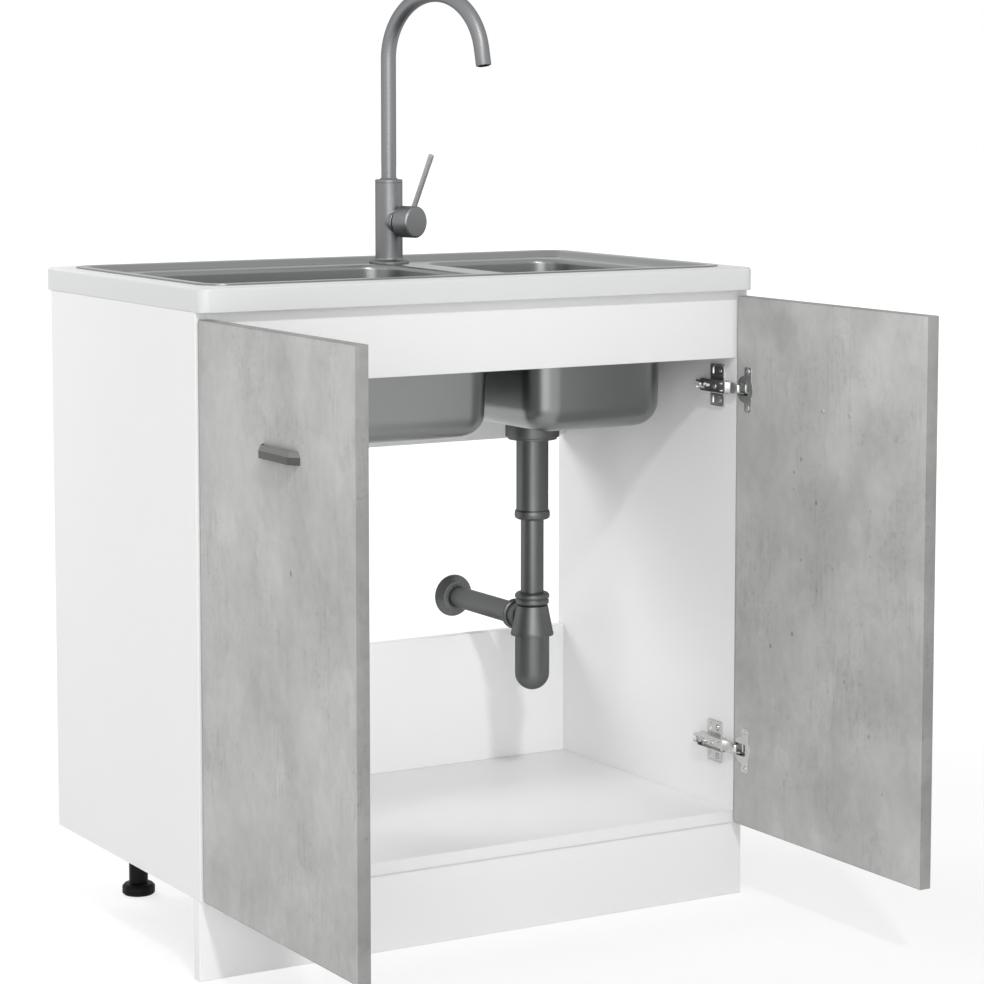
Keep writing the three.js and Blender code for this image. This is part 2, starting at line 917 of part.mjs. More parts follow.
// Lever pieces are made with Z pointing away from the tap's axis and Y up, and are then laid
// towards the front at the lever's height.
function towardsFront(solid) {
  return moved(solid.rotate([90, 0, 0]), 0, 0, LEVER.axisHeight);
}

function cartridge() {
  const { cartridgeRadius, cartridgeStart, cartridgeLength } = LEVER;
  const { pivotReach, pivotRadius, pivotHalfWidth } = LEVER;
  const front = cartridgeStart + cartridgeLength;
  const ear = (side) => block(
    side * LEVER.earInner,
    side * pivotHalfWidth,
    -LEVER.earHeight,
    LEVER.earHeight,
    front - FIT.cut,
    pivotReach + LEVER.earHeight,
  );
  const pivot = rod(pivotRadius, -pivotHalfWidth, pivotHalfWidth, SIDES.small).rotate([0, 90, 0]);
  const body = rod(cartridgeRadius, cartridgeStart, front);
  return towardsFront(union([body, ear(-1), ear(1), moved(pivot, 0, 0, pivotReach)]));
}

// The lever: a cap that hangs on the cartridge's pivot by an inner tongue, and the pin on its top.
function lever() {
  const { capStart, capLength, capRadius, capChamfer, capWall, capFloor, pivotReach } = LEVER;
  const front = capStart + capLength;
  const floor = front - capFloor;
  const cap = turned([
    [0, floor],
    [capRadius - capWall, floor],
    [capRadius - capWall, capStart],
    [capRadius - capChamfer, capStart],
    [capRadius, capStart + capChamfer],
    [capRadius, front - capChamfer],
    [capRadius - capChamfer, front],
    [0, front],
  ], SIDES.wide);
  const half = LEVER.tongueHalfWidth;
  const knuckle = moved(rod(LEVER.tongueRadius, -half, half).rotate([0, 90, 0]), 0, 0, pivotReach);
  const tongueBar = block(-half, half, -LEVER.tongueRadius, LEVER.tongueRadius, pivotReach, floor + FIT.cut);
  const boreRadius = LEVER.pivotRadius + FIT.turning;
  const bore = moved(rod(boreRadius, -half - FIT.cut, half + FIT.cut).rotate([0, 90, 0]), 0, 0, pivotReach);
  const tongue = knuckle.add(tongueBar).subtract(bore);
  return towardsFront(union([cap, tongue, leverPin(front - LEVER.pinFromCapFront)]));
}

// The lever's pin, which leans outwards from the cap's top at the given reach.
function leverPin(reach) {
  const { pinRadius, pinSeat, pinLength, pinRound, pinLean } = LEVER;
  const tip = pinLength - pinSeat;
  const pin = turned([
    [0, -pinSeat],
    [pinRadius, -pinSeat],
    [pinRadius, tip - pinRound],
    [pinRadius - pinRound, tip],
    [0, tip],
  ]);
  const turn = THREE.MathUtils.radToDeg(pinLean - Math.PI / 2);
  return moved(pin.rotate([turn, 0, 0]), 0, LEVER.capRadius, reach);
}

function addTap(parent) {
  const tap = new THREE.Group();
  tap.position.set(tapPlace.x, tapPlace.y, deckTop);
  tap.rotation.z = TAP.swivel;
  parent.add(tap);
  addPiece(tap, 'tap_body', tapBody(), FINISH.tapSteel);
  addPiece(tap, 'tap_lock_nut', tapLockNut(), FINISH.tapSteel);
  addPiece(tap, 'tap_spout', spout(), FINISH.tapSteel);
  addPiece(tap, 'tap_aerator', aerator(), FINISH.black);
  addPiece(tap, 'tap_cartridge', cartridge(), FINISH.tapSteel);
  addPiece(tap, 'tap_lever', lever(), FINISH.tapSteel);
}

// The doors. A door is modelled closed, about its hinge pin: X runs from the hinges to the free
// edge and Y into the carcass. The leaf's faces and its places along X are measured from the pin.

const leaf = {
  x0: -HINGE.pinInset,
  x1: doorWidth - HINGE.pinInset,
  inner: HINGE.pinDepth,
  outer: HINGE.pinDepth - DOOR.thick,
  z0: doorFoot,
  z1: doorHead,
};
const cupX = leaf.x0 + HINGE_CUP.inset;
const handleX = leaf.x0 + HANDLE.fromHingeEdge;
const handleCrease = doorHead - HANDLE.creaseFromDoorHead;
const postZ = handleCrease + HANDLE.postRise;
const hingeLevels = { low: doorFoot + HINGE.lowFromDoorFoot, top: doorHead - HINGE.topFromDoorHead };

// A solid turned about Z, laid so that its +Z points out of the leaf's inner face.
function outOfInnerFace(solid, x, z) {
  return moved(solid.rotate([-90, 0, 0]), x, leaf.inner, z);
}

function doorLeaf() {
  let door = block(leaf.x0, leaf.x1, leaf.outer, leaf.inner, leaf.z0, leaf.z1);
  const cupBore = rod(HINGE_CUP.radius + FIT.drilled, -HINGE_CUP.depth - FIT.drilled, FIT.cut, SIDES.wide);
  for (const z of Object.values(hingeLevels)) door = door.subtract(outOfInnerFace(cupBore, cupX, z));
  const screwBore = rod(HANDLE.screwRadius + FIT.drilled, -DOOR.thick - FIT.cut, FIT.cut, SIDES.small);
  for (const side of [-1, 1]) {
    const x = handleX + (side * HANDLE.postSpacing) / 2;
    door = door.subtract(outOfInnerFace(screwBore, x, postZ));
  }
  return door;
}

function hingeCup() {
  const { radius, depth, wall, flangeThick, flangeRadius } = HINGE_CUP;
  const { wingWidth, wingOffset, wingHalfHeight } = HINGE_CUP;
  const bowl = turned([
    [0, -depth],
    [radius, -depth],
    [radius, 0],
    [flangeRadius, 0],
    [flangeRadius, flangeThick],
    [radius - wall, flangeThick],
    [radius - wall, wall - depth],
    [0, wall - depth],
  ], SIDES.wide);
  const wing = block(
    wingOffset - wingWidth / 2,
    wingOffset + wingWidth / 2,
    -wingHalfHeight,
    wingHalfHeight,
    0,
    flangeThick,
  );
  const cavity = rod(radius - wall, -FIT.cut, flangeThick + FIT.cut, SIDES.wide);
  const head = (side) => moved(
    rod(HINGE_CUP.screwRadius, 0, flangeThick + HINGE_CUP.screwHeight, SIDES.small),
    wingOffset,
    side * HINGE_CUP.screwRise,
    0,
  );
  const cup = union([bowl, wing.subtract(cavity), head(-1), head(1)]);
  const inside = outOfInnerFace(rod(radius - wall / 2, -depth, 0, SIDES.wide), cupX, 0);
  const lugs = hingeLug(-1).add(hingeLug(1)).intersect(inside);
  return outOfInnerFace(cup, cupX, 0).add(lugs);
}

// One of the two lugs inside a cup that the hinge pin turns in, about the pin.
function hingeLug(side) {
  const { lugReach, lugThick, depth, wall } = HINGE_CUP;
  const near = HINGE.armHalfHeight + FIT.turning;
  const [z0, z1] = side < 0 ? [-near - lugThick, -near] : [near, near + lugThick];
  const eye = rod(lugReach, z0, z1, SIDES.small);
  const root = block(-lugReach, lugReach, leaf.inner - depth + wall / 2, 0, z0, z1);
  const bore = rod(HINGE.pinRadius + FIT.drilled, z0 - FIT.cut, z1 + FIT.cut, SIDES.small);
  return eye.add(root).subtract(bore);
}

// The handle: a low bow of flat bar whose front is bevelled above a crease, with two posts that
// its screws draw against the leaf's outer face.
function handle() {
  const { length, flatLength, standOff, strip, postSpacing, postRadius } = HANDLE;
  const half = length / 2;
  const flatHalf = flatLength / 2;
  const endSlope = (half - flatHalf) / standOff;
  const innerOff = standOff - strip;
  const stripEdge = strip * Math.hypot(1, endSlope);
  const outline = [
    [-half, 0],
    [-flatHalf, standOff],
    [flatHalf, standOff],
    [half, 0],
    [half - stripEdge, 0],
    [half - stripEdge - endSlope * innerOff, innerOff],
    [stripEdge + endSlope * innerOff - half, innerOff],
    [stripEdge - half, 0],
  ].map(([u, v]) => [handleX + u, leaf.outer - v]);
  const top = handleCrease + HANDLE.aboveCrease;
  const front = leaf.outer - standOff;
  const overTop = top + HANDLE.aboveCrease;
  const bevel = alongX(
    [[front, handleCrease], [front + strip, top], [front + strip, overTop], [front - strip, overTop]],
    handleX - half,
    handleX + half,
  );
  const band = prism(outline, handleCrease - HANDLE.belowCrease, top).subtract(bevel);
  const headFoot = -DOOR.thick - HANDLE.screwHeadHeight;
  const postTop = innerOff + strip / 2;
  const post = turned([
    [0, headFoot],
    [HANDLE.screwHeadRadius, headFoot],
    [HANDLE.screwHeadRadius, -DOOR.thick],
    [HANDLE.screwRadius, -DOOR.thick],
    [HANDLE.screwRadius, 0],
    [postRadius, 0],
    [postRadius, postTop],
    [0, postTop],
  ], SIDES.small).rotate([90, 0, 0]);
  const posts = [-1, 1].map((side) => moved(post, handleX + (side * postSpacing) / 2, leaf.outer, postZ));
  return union([band, ...posts]);
}

// The fixed half of a hinge, about its pin's middle, on the left side panel.

function hingeArm() {
  const { thick, neckReach, bodyStart, bodyEnd, bodyHalfHeight, bodyThick, screwRadius } = HINGE_ARM;
  const half = HINGE.armHalfHeight;
  const pinY = hingePin.y;
  const bodyTop = neckReach - thick + bodyThick;
  const eye = rod(HINGE.eyeRadius, -half, half, SIDES.small);
  const pin = rod(HINGE.pinRadius, -HINGE.pinHalfLength, HINGE.pinHalfLength, SIDES.small);
  const crank = block(0, neckReach, -thick / 2, thick / 2, -half, half);
  const neck = block(neckReach - thick, neckReach, -thick / 2, bodyStart - pinY + thick, -half, half);
  const neckHalf = HINGE_ARM.neckHalfHeight;
  const wideNeck = block(
    neckReach - thick,
    neckReach,
    HINGE_ARM.neckStart - pinY,
    bodyStart - pinY + thick,
    -neckHalf,
    neckHalf,
  );
  const body = block(
    neckReach - thick,
    bodyTop,
    bodyStart - pinY,
    bodyEnd - pinY,
    -bodyHalfHeight,
    bodyHalfHeight,
  );
  const screws = HINGE_ARM.screwPlaces.map((y) => moved(
    rod(screwRadius, 0, HINGE_ARM.screwHeight + FIT.cut, SIDES.small).rotate([0, 90, 0]),
    bodyTop - FIT.cut,
    y - pinY,
    0,
  ));
  return union([eye, pin, crank, neck, wideNeck, body, ...screws]);
}

function hingePlate() {
  const { thick, wingStart, wingEnd, wingHalfHeight, railStart, railEnd, railHalfHeight } = HINGE_PLATE;
  const pinY = hingePin.y;
  const panelFace = -innerHalf - hingePin.x;
  const railTop = HINGE_ARM.neckReach - HINGE_ARM.thick;
  const base = block(
    panelFace,
    panelFace + thick,
    wingStart - pinY,
    wingEnd - pinY,
    -wingHalfHeight,
    wingHalfHeight,
  );
  const rail = block(panelFace, railTop, railStart - pinY, railEnd - pinY, -railHalfHeight, railHalfHeight);
  const head = (side) => moved(
    rod(HINGE_PLATE.screwRadius, 0, thick + HINGE_PLATE.screwHeight, SIDES.small).rotate([0, 90, 0]),
    panelFace,
    (wingStart + wingEnd) / 2 - pinY,
    side * HINGE_PLATE.screwRise,
  );
  return union([base, rail, head(-1), head(1)]);
}

// A side of the cabinet's front: a door with all that hangs on it, and the hinges' fixed halves.
// Both sides are made as a left one, and the right one is its mirror image.
function addDoorSide(parent, side) {
  const half = new THREE.Group();
  half.scale.x = side === 'left' ? 1 : -1;
  parent.add(half);
  const fixed = new THREE.Group();
  fixed.position.set(hingePin.x, hingePin.y, 0);
  half.add(fixed);
  const swung = new THREE.Group();
  swung.position.copy(fixed.position);
  swung.rotation.z = -DOOR.openTurn;
  half.add(swung);
  addPiece(swung, `door_${side}`, doorLeaf(), FINISH.concrete);
  addPiece(swung, `handle_${side}`, handle(), FINISH.handleMetal);
  for (const [place, z] of Object.entries(hingeLevels)) {
    addPiece(swung, `hinge_cup_${place}_${side}`, moved(hingeCup(), 0, 0, z), FINISH.nickel);
    addPiece(fixed, `hinge_arm_${place}_${side}`, moved(hingeArm(), 0, 0, z), FINISH.nickel);
    addPiece(fixed, `hinge_plate_${place}_${side}`, moved(hingePlate(), 0, 0, z), FINISH.nickel);
  }
}

// The whole cabinet. The carcass front is moved forward so that the origin lies in the plinth.

const cabinet = new THREE.Group();
cabinet.name = 'sink_base_cabinet';
const standing = new THREE.Group();
standing.position.y = -PLINTH.setBack - CARCASS.board / 2;
cabinet.add(standing);
addCarcass(standing);
addLegs(standing);
addWorktop(standing);
addSink(standing);
addDrains(standing);
addTap(standing);
addDoorSide(standing, 'left');
addDoorSide(standing, 'right');

export default cabinet;
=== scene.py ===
"""Dresses the sink base cabinet: finer meshes and finishes around the fixed frame, and the studio.

Every length is in millimetres in the frame's own axes: X to the right, Y from the doors to the wall, Z up.
Shell.mesh turns lengths into metres. A piece is built in place, so its object stays at the origin. The rows
of an outline are (a, b, rounding of the corner). For a turned piece, a is the radius and b the height.
"""

from __future__ import annotations

import logging
import math
from dataclasses import dataclass
from enum import Enum
from functools import reduce
from typing import Iterable, Sequence

import bpy
import numpy as np
from mathutils.geometry import tessellate_polygon
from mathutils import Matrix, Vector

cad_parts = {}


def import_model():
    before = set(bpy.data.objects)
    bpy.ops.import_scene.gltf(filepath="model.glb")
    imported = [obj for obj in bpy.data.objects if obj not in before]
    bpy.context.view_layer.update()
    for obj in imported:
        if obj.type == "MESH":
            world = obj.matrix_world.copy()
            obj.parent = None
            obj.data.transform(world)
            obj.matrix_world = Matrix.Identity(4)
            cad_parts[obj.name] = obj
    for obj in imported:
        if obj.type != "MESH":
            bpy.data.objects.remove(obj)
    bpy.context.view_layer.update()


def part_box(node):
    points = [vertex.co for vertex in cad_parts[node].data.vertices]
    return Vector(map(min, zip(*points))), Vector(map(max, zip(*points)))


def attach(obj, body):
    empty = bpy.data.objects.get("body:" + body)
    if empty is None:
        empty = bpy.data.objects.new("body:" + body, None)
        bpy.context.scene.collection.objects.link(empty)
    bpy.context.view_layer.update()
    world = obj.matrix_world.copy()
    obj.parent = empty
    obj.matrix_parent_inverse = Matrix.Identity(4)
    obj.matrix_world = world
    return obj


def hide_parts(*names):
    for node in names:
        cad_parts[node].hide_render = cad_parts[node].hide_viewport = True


log = logging.getLogger("cabinet")

MM = 0.001
UP = 2
SHARP = 32.0
Outline = Sequence[tuple[float, float, float]]
Colour = tuple[float, float, float, float]
Socket = bpy.types.NodeSocket
Node = bpy.types.Node
Tree = bpy.types.NodeTree

# The Mix node's sockets for colours: its share, its two inputs and its result.
SHARE, FIRST, SECOND, MIXED = 0, 6, 7, 2


# Shapes


def rounded(outline: Outline, closed: bool = False, steps: int = 6) -> np.ndarray:
    """Rounds the corners of a flat outline with circular arcs.

    A corner's arc touches both of its sides at radius / tan(half the corner's angle) from the corner. Its
    points are the unit vectors between the two touching directions, turned evenly from one to the other.

    Args:
        outline: Points as (a, b, radius of the rounding).
        closed: Whether the last point joins the first.
        steps: How many chords an arc has.

    Returns:
        The points, one row of (a, b) each.
    """
    straight, share_of_side = 1e-3, 0.499
    points = np.array(outline, float)
    count = len(points)
    parts = []
    for i, (a, b, radius) in enumerate(points):
        corner = np.array([a, b])
        if radius <= 0 or (not closed and i in (0, count - 1)):
            parts.append(corner[None])
            continue
        back, ahead = points[i - 1, :2] - corner, points[(i + 1) % count, :2] - corner
        longest = share_of_side * min(np.linalg.norm(back), np.linalg.norm(ahead))
        u, v = back / np.linalg.norm(back), ahead / np.linalg.norm(ahead)
        angle = math.acos(float(np.clip(u @ v, -1, 1)))
        if math.pi - angle < straight:
            parts.append(corner[None])
            continue
        reach = min(radius / math.tan(angle / 2), longest)
        size = reach * math.tan(angle / 2)
        centre = corner + (u + v) / np.linalg.norm(u + v) * size / math.sin(angle / 2)
        first, last = (corner + u * reach - centre) / size, (corner + v * reach - centre) / size
        turn = math.pi - angle
        share = np.linspace(0, 1, steps + 1)[:, None]
        arc = (np.sin((1 - share) * turn) * first + np.sin(share * turn) * last) / math.sin(turn)
        parts.append(centre + arc * size)
    return np.vstack(parts)


def circle(radius: float, count: int = 48, a: float = 0.0, b: float = 0.0) -> np.ndarray:
    """Points (a + r cos t, b + r sin t) of a circle, anticlockwise."""
    t = np.arange(count) / count * math.tau
    return np.stack([a + radius * np.cos(t), b + radius * np.sin(t)], 1)


def at_height(flat: np.ndarray, z: float) -> np.ndarray:
    """A flat outline as a ring of points at the height z."""
    return np.column_stack([flat[:, :2], np.full(len(flat), z)])


def inset(flat: np.ndarray, by: float) -> np.ndarray:
    """A closed anticlockwise outline moved inwards along the mitre of its two edges at each point."""
    shortest, bluntest = 1e-9, 0.3
    ahead = np.roll(flat, -1, 0) - flat
    ahead /= np.maximum(np.linalg.norm(ahead, axis=1, keepdims=True), shortest)
    normal = np.stack([-ahead[:, 1], ahead[:, 0]], 1)
    mitre = normal + np.roll(normal, 1, 0)
    mitre /= np.maximum((mitre * normal).sum(1, keepdims=True), bluntest)
    return flat + mitre * by


@dataclass(frozen=True)
class Plan:
    """A rounded rectangle seen from above."""

    x0: float
    x1: float
    y0: float
    y1: float
    radius: float

    @classmethod
    def between(cls, low: np.ndarray, high: np.ndarray, radius: float, by: float = 0.0) -> Plan:
        """The plan between two corners, moved inwards by a length."""
        return cls(low[0] + by, high[0] - by, low[1] + by, high[1] - by, radius)

    def ring(self, grow: float, z: float, steps: int, least: float) -> np.ndarray:
        """The plan grown outwards at a height. Its corner radius follows, down to the least radius.

        Args:
            grow: How far its sides move outwards.
            z: The height.
            steps: How many chords a corner has.
            least: The corner radius where the grown one would be none.

        Returns:
            The points of the ring, anticlockwise.
        """
        wanted = self.radius + grow
        r = (wanted + math.hypot(wanted, 2 * least)) / 2
        i = r - grow
        centres = np.array([[self.x1 - i, self.y0 + i], [self.x1 - i, self.y1 - i],
                            [self.x0 + i, self.y1 - i], [self.x0 + i, self.y0 + i]])
        turn = np.radians(np.array([-90, 0, 90, 180])[:, None] + np.linspace(0, 90, steps + 1))
        flat = centres[:, None] + r * np.stack([np.cos(turn), np.sin(turn)], 2)
        return at_height(flat.reshape(-1, 2), z)

    def rings(self, profile: np.ndarray, steps: int = 12, least: float = 4.0) -> np.ndarray:
        """One ring for each (grow, z) row of a profile."""
        return np.stack([self.ring(grow, z, steps, least) for grow, z in profile])


@dataclass(frozen=True)
class Shell:
    """A mesh in the making: its points and the point numbers of each face."""

    points: np.ndarray
    faces: list[list[int]]

    def __add__(self, other: Shell) -> Shell:
        """Both shells as one."""
        first = len(self.points)
        moved = [[i + first for i in face] for face in other.faces]
        return Shell(np.vstack([self.points, other.points]), self.faces + moved)

    def moved(self, x: float = 0.0, y: float = 0.0, z: float = 0.0) -> Shell:
        """The shell carried by (x, y, z)."""
        return Shell(self.points + np.array([x, y, z]), self.faces)

    def turned(self, axis: int, degrees: float) -> Shell:
        """The shell turned about the X, Y or Z axis, numbered 0, 1 or 2."""
        a, b = [(1, 2), (2, 0), (0, 1)][axis]
        c, s = math.cos(math.radians(degrees)), math.sin(math.radians(degrees))
        points = self.points.copy()
        points[:, a] = c * self.points[:, a] - s * self.points[:, b]
        points[:, b] = s * self.points[:, a] + c * self.points[:, b]
        return Shell(points, self.faces)

    def on_leaf(self) -> Shell:
        """A shell drawn on a sheet, laid on a left door or side: its (a, b, c) become (Y, Z, X)."""
        return Shell(self.points[:, [2, 0, 1]], self.faces)

    def mirrored(self) -> Shell:
        """The shell's mirror image across X = 0, with its faces turned outwards again."""
        return Shell(self.points * np.array([-1.0, 1.0, 1.0]), [face[::-1] for face in self.faces])

    def mesh(self, name: str, sharp: float = SHARP) -> bpy.types.Object:
        """Makes the object, in metres: points that coincide are welded and sharp edges kept.

        Args:
            name: The object's name.
            sharp: The angle between faces, in degrees, past which an edge isn't smoothed.

        Returns:
            The new object, in the scene.
        """
        welded = np.round(self.points, 4)
        _, first, where = np.unique(welded, axis=0, return_index=True, return_inverse=True)
        where = where.reshape(-1)
        faces = []
        for face in self.faces:
            kept = [int(where[i]) for i in face]
            kept = [p for i, p in enumerate(kept) if p != kept[i - 1]]
            if len(set(kept)) > 2:
                faces.append(kept)
        data = bpy.data.meshes.new(name)
        data.from_pydata((self.points[first] * MM).tolist(), [], faces)
        data.validate()
        data.shade_smooth()
        data.set_sharp_from_angle(angle=math.radians(sharp))
        item = bpy.data.objects.new(name, data)
        bpy.context.scene.collection.objects.link(item)
        return item


def skin(rings: np.ndarray, loop: bool = False, foot: bool = False, head: bool = False) -> Shell:
    """Joins rings of the same length by quads: point j of ring i to its neighbours in ring i + 1.

    Args:
        rings: Points, shaped (rings, points, 3). Seen from outside, rings run anticlockwise and upwards.
        loop: Whether the last ring joins the first.
        foot: Whether a face closes the first ring.
        head: Whether a face closes the last ring.

    Returns:
        The shell.
    """
    count, size = rings.shape[:2]
    i, j = np.meshgrid(np.arange(count if loop else count - 1), np.arange(size), indexing="ij")
    k, n = (i + 1) % count, (j + 1) % size
    faces = np.stack([i * size + j, i * size + n, k * size + n, k * size + j], 2).reshape(-1, 4).tolist()
    if foot:
        faces.append(list(range(size))[::-1])
    if head:
        faces.append([(count - 1) * size + p for p in range(size)])
    return Shell(rings.reshape(-1, 3), faces)


def pierced(rim: np.ndarray, holes: Sequence[np.ndarray], up: bool) -> Shell:
    """A flat face inside a rim with holes in it, cut into triangles that face up or down."""
    sliver = 1e-7
    flats = [[tuple(map(float, p)) for p in ring] for ring in (rim, *holes)]
    points, triangles = np.vstack([rim, *holes]), np.array(tessellate_polygon(flats))
    a, b, c = (points[triangles[:, n], :2] for n in range(3))
    area = (b[:, 0] - a[:, 0]) * (c[:, 1] - a[:, 1]) - (b[:, 1] - a[:, 1]) * (c[:, 0] - a[:, 0])
    wrong = (area > 0) != up
    triangles[wrong] = triangles[wrong][:, ::-1]
    return Shell(points, triangles[np.abs(area) > sliver].tolist())


def lathe(outline: np.ndarray, sides: int = 64, wave: float = 0.0, waves: int = 0) -> Shell:
    """A surface of revolution about Z: the point (r cos t, r sin t, z) for each (r, z) and each angle t.

    Args:
        outline: Rows of (r, z), from the axis back to the axis, or a closed outline that stays off it.
        sides: How many points a ring has.
        wave: How deep notches around the widest part go.
        waves: How many notches there are.

    Returns:
        The shell, closed.
    """
    on_axis, notch_reach = 1e-6, 1.5
    path = np.array(outline, float)
    following = np.roll(path, -1, 0)
    if (path[:, 0] * following[:, 1] - following[:, 0] * path[:, 1]).sum() < 0:
        path = path[::-1]
    body = path[path[:, 0] > on_axis]
    t = np.arange(sides) / sides * math.tau
    near_rim = np.clip((body[:, 0] - body[:, 0].max() + notch_reach) / notch_reach, 0, 1)
    radius = body[:, :1] - wave * near_rim[:, None] * (0.5 + 0.5 * np.cos(waves * t)) ** 3
    rings = np.stack([radius * np.cos(t), radius * np.sin(t), np.repeat(body[:, 1:], sides, 1)], 2)
    if path[0, 0] > on_axis:
        return skin(rings, loop=True)
    shell = skin(rings)
    foot, head = len(shell.points), len(shell.points) + 1
    last = (len(body) - 1) * sides
    fans = [[foot, (j + 1) % sides, j] for j in range(sides)]
    fans += [[head, last + j, last + (j + 1) % sides] for j in range(sides)]
    poles = np.array([[0, 0, path[0, 1]], [0, 0, path[-1, 1]]])
    return Shell(np.vstack([shell.points, poles]), shell.faces + fans)


def turned_ring(rows: Outline) -> Shell:
    """A turned piece with a bore, from the rows of its closed section."""
    return lathe(rounded(rows, True))


def turned_rod(rows: Outline, sides: int = 64) -> Shell:
    """A turned piece without a bore, from rows that run from the axis back to the axis."""
    return lathe(rounded(rows), sides)


def rod(radius: float, low: float, high: float, edge: float, sides: int = 24) -> Shell:
    """A round rod about Z from low to high."""
    return turned_rod([(0, low, 0), (radius, low, edge), (radius, high, edge), (0, high, 0)], sides)


def soft_edges(low: float, high: float, edge: float, steps: int = 4) -> np.ndarray:
    """(grow, z) rows of a slab whose two edges follow a quarter circle."""
    t = np.linspace(0, math.pi / 2, steps + 1)
    foot = np.stack([-edge * (1 - np.sin(t)), low + edge * (1 - np.cos(t))], 1)
    return np.vstack([foot, np.stack([foot[::-1, 0], high + low - foot[::-1, 1]], 1)])


def slab(flat: np.ndarray, low: float, high: float, edge: float = 0.4, cuts: Sequence[np.ndarray] = (),
         depth: float = 0.0) -> Shell:
    """An outline pulled up into a slab, with soft edges and blind cuts in its top.

    Args:
        flat: The slab's outline, closed and anticlockwise.
        low: The height of its foot.
        high: The height of its top.
        edge: The radius of its two edges.
        cuts: The outlines of the cuts, anticlockwise too.
        depth: How deep the cuts go.

    Returns:
        The shell, closed.
    """
    rings = np.stack([at_height(inset(flat, -grow), z) for grow, z in soft_edges(low, high, edge)])
    if not cuts:
        return skin(rings, foot=True, head=True)
    mouths = [at_height(cut, high) for cut in cuts]
    shell = skin(rings, foot=True) + pierced(rings[-1], mouths, True)
    for mouth, cut in zip(mouths, cuts):
        shell += skin(np.stack([mouth, at_height(cut, high - depth)]), head=True)
    return shell


def oblong(a: float, b: float, half_a: float, half_b: float, radius: float, steps: int = 5) -> np.ndarray:
    """A rounded rectangle about (a, b), anticlockwise."""
    return rounded([(a - half_a, b - half_b, radius), (a + half_a, b - half_b, radius),
                    (a + half_a, b + half_b, radius), (a - half_a, b + half_b, radius)], True, steps)


def board(low: Sequence[float], high: Sequence[float], edge: float) -> Shell:
    """A board between two corners, its edges broken by a small round."""
    plan = Plan.between(low, high, edge)
    return skin(plan.rings(soft_edges(low[2], high[2], edge), 4, 0.05), foot=True, head=True)


def carried(path: np.ndarray, section: np.ndarray) -> Shell:
    """A section carried along a path that lies level, in the plane b = 0 of a leaf.

    Each section point (p, q) stands at path + p * side + q * up, where side is the path's direction crossed
    with up, the leaf's b.

    Args:
        path: The path's points as (a, c).
        section: Points shaped (path points, section points, 2), or one section for the whole path.

    Returns:
        The shell, closed at both ends.
    """
    up = np.array([0.0, 1.0, 0.0])
    line = np.stack([path[:, 0], np.zeros(len(path)), path[:, 1]], 1)
    along = np.gradient(line, axis=0)
    along /= np.linalg.norm(along, axis=1, keepdims=True)
    side = np.cross(along, up)
    sections = np.broadcast_to(section, (len(line), *section.shape[-2:]))
    rings = line[:, None] + sections[..., :1] * side[:, None] + sections[..., 1:] * up
    return skin(rings, foot=True, head=True)


def fused(*shells: Shell) -> Shell:
    """The union of shells that run into each other, without the parts that lie inside."""
    items = [shell.mesh("making") for shell in shells]
    for other in items[1:]:
        union = items[0].modifiers.new("union", "BOOLEAN")
        union.operation, union.solver, union.object = "UNION", "EXACT", other
    whole = items[0].evaluated_get(bpy.context.evaluated_depsgraph_get()).data
    points = np.zeros(len(whole.vertices) * 3)
    whole.vertices.foreach_get("co", points)
    made = Shell(points.reshape(-1, 3) / MM, [list(face.vertices) for face in whole.polygons])
    for item in items:
        bpy.data.meshes.remove(item.data)
    return made


def screw_head(radius: float, height: float, recess: float) -> Shell:
    """A low screw head about Z, standing on z = 0, with a cross recess cut into it.

    Args:
        radius: The head's radius.
        height: How far it stands proud.
        recess: How deep the cross is.

    Returns:
        The head, closed at its foot.
    """
    t = np.linspace(0, math.pi / 2, 5)
    bevel = min(height * 0.7, radius * 0.25)
    rows = [(radius, 0.0)]
    rows += [(radius - bevel * (1 - math.cos(a)), height - bevel + bevel * math.sin(a)) for a in t]
    rings = np.stack([at_height(circle(r, 32), z) for r, z in rows])
    arm, half, taper = radius * 0.55, radius * 0.16, 0.86
    quarter = np.array([(arm, -half), (arm, half), (half, half)])
    turns = [np.array([[c, s], [-s, c]]) for c, s in ((1, 0), (0, 1), (-1, 0), (0, -1))]
    cross = np.vstack([quarter @ turn for turn in turns])
    mouth, floor = at_height(cross, height), at_height(cross * taper, height - recess)
    well = skin(np.stack([mouth, floor]), head=True)
    return skin(rings, foot=True) + pierced(rings[-1], [mouth], True) + well


# Finishes


def linear(colour: str) -> Colour:
    """An sRGB hex colour such as "#BABAB7" as linear RGBA."""
    values = [int(colour[i:i + 2], 16) / 255 for i in (1, 3, 5)]
    return (*[v / 12.92 if v <= 0.04045 else ((v + 0.055) / 1.055) ** 2.4 for v in values], 1.0)


def add(tree: Tree, kind: str, inputs: dict | Sequence = (), **settings: object) -> Node:
    """Adds one node to a tree, with its settings and links.

    Args:
        tree: The node tree.
        kind: The node's type.
        inputs: What its sockets get, in their order or under their names or numbers. Each is a value, the
            output that feeds the socket, or the node whose first output feeds it.
        **settings: The node's own settings.

    Returns:
        The node.
    """
    node = tree.nodes.new(kind)
    for key, value in settings.items():
        setattr(node, key, value)
    for key, value in inputs.items() if isinstance(inputs, dict) else enumerate(inputs):
        source = value.outputs[0] if isinstance(value, Node) else value
        if isinstance(source, Socket):
            tree.links.new(source, node.inputs[key])
        else:
            node.inputs[key].default_value = source
    return node


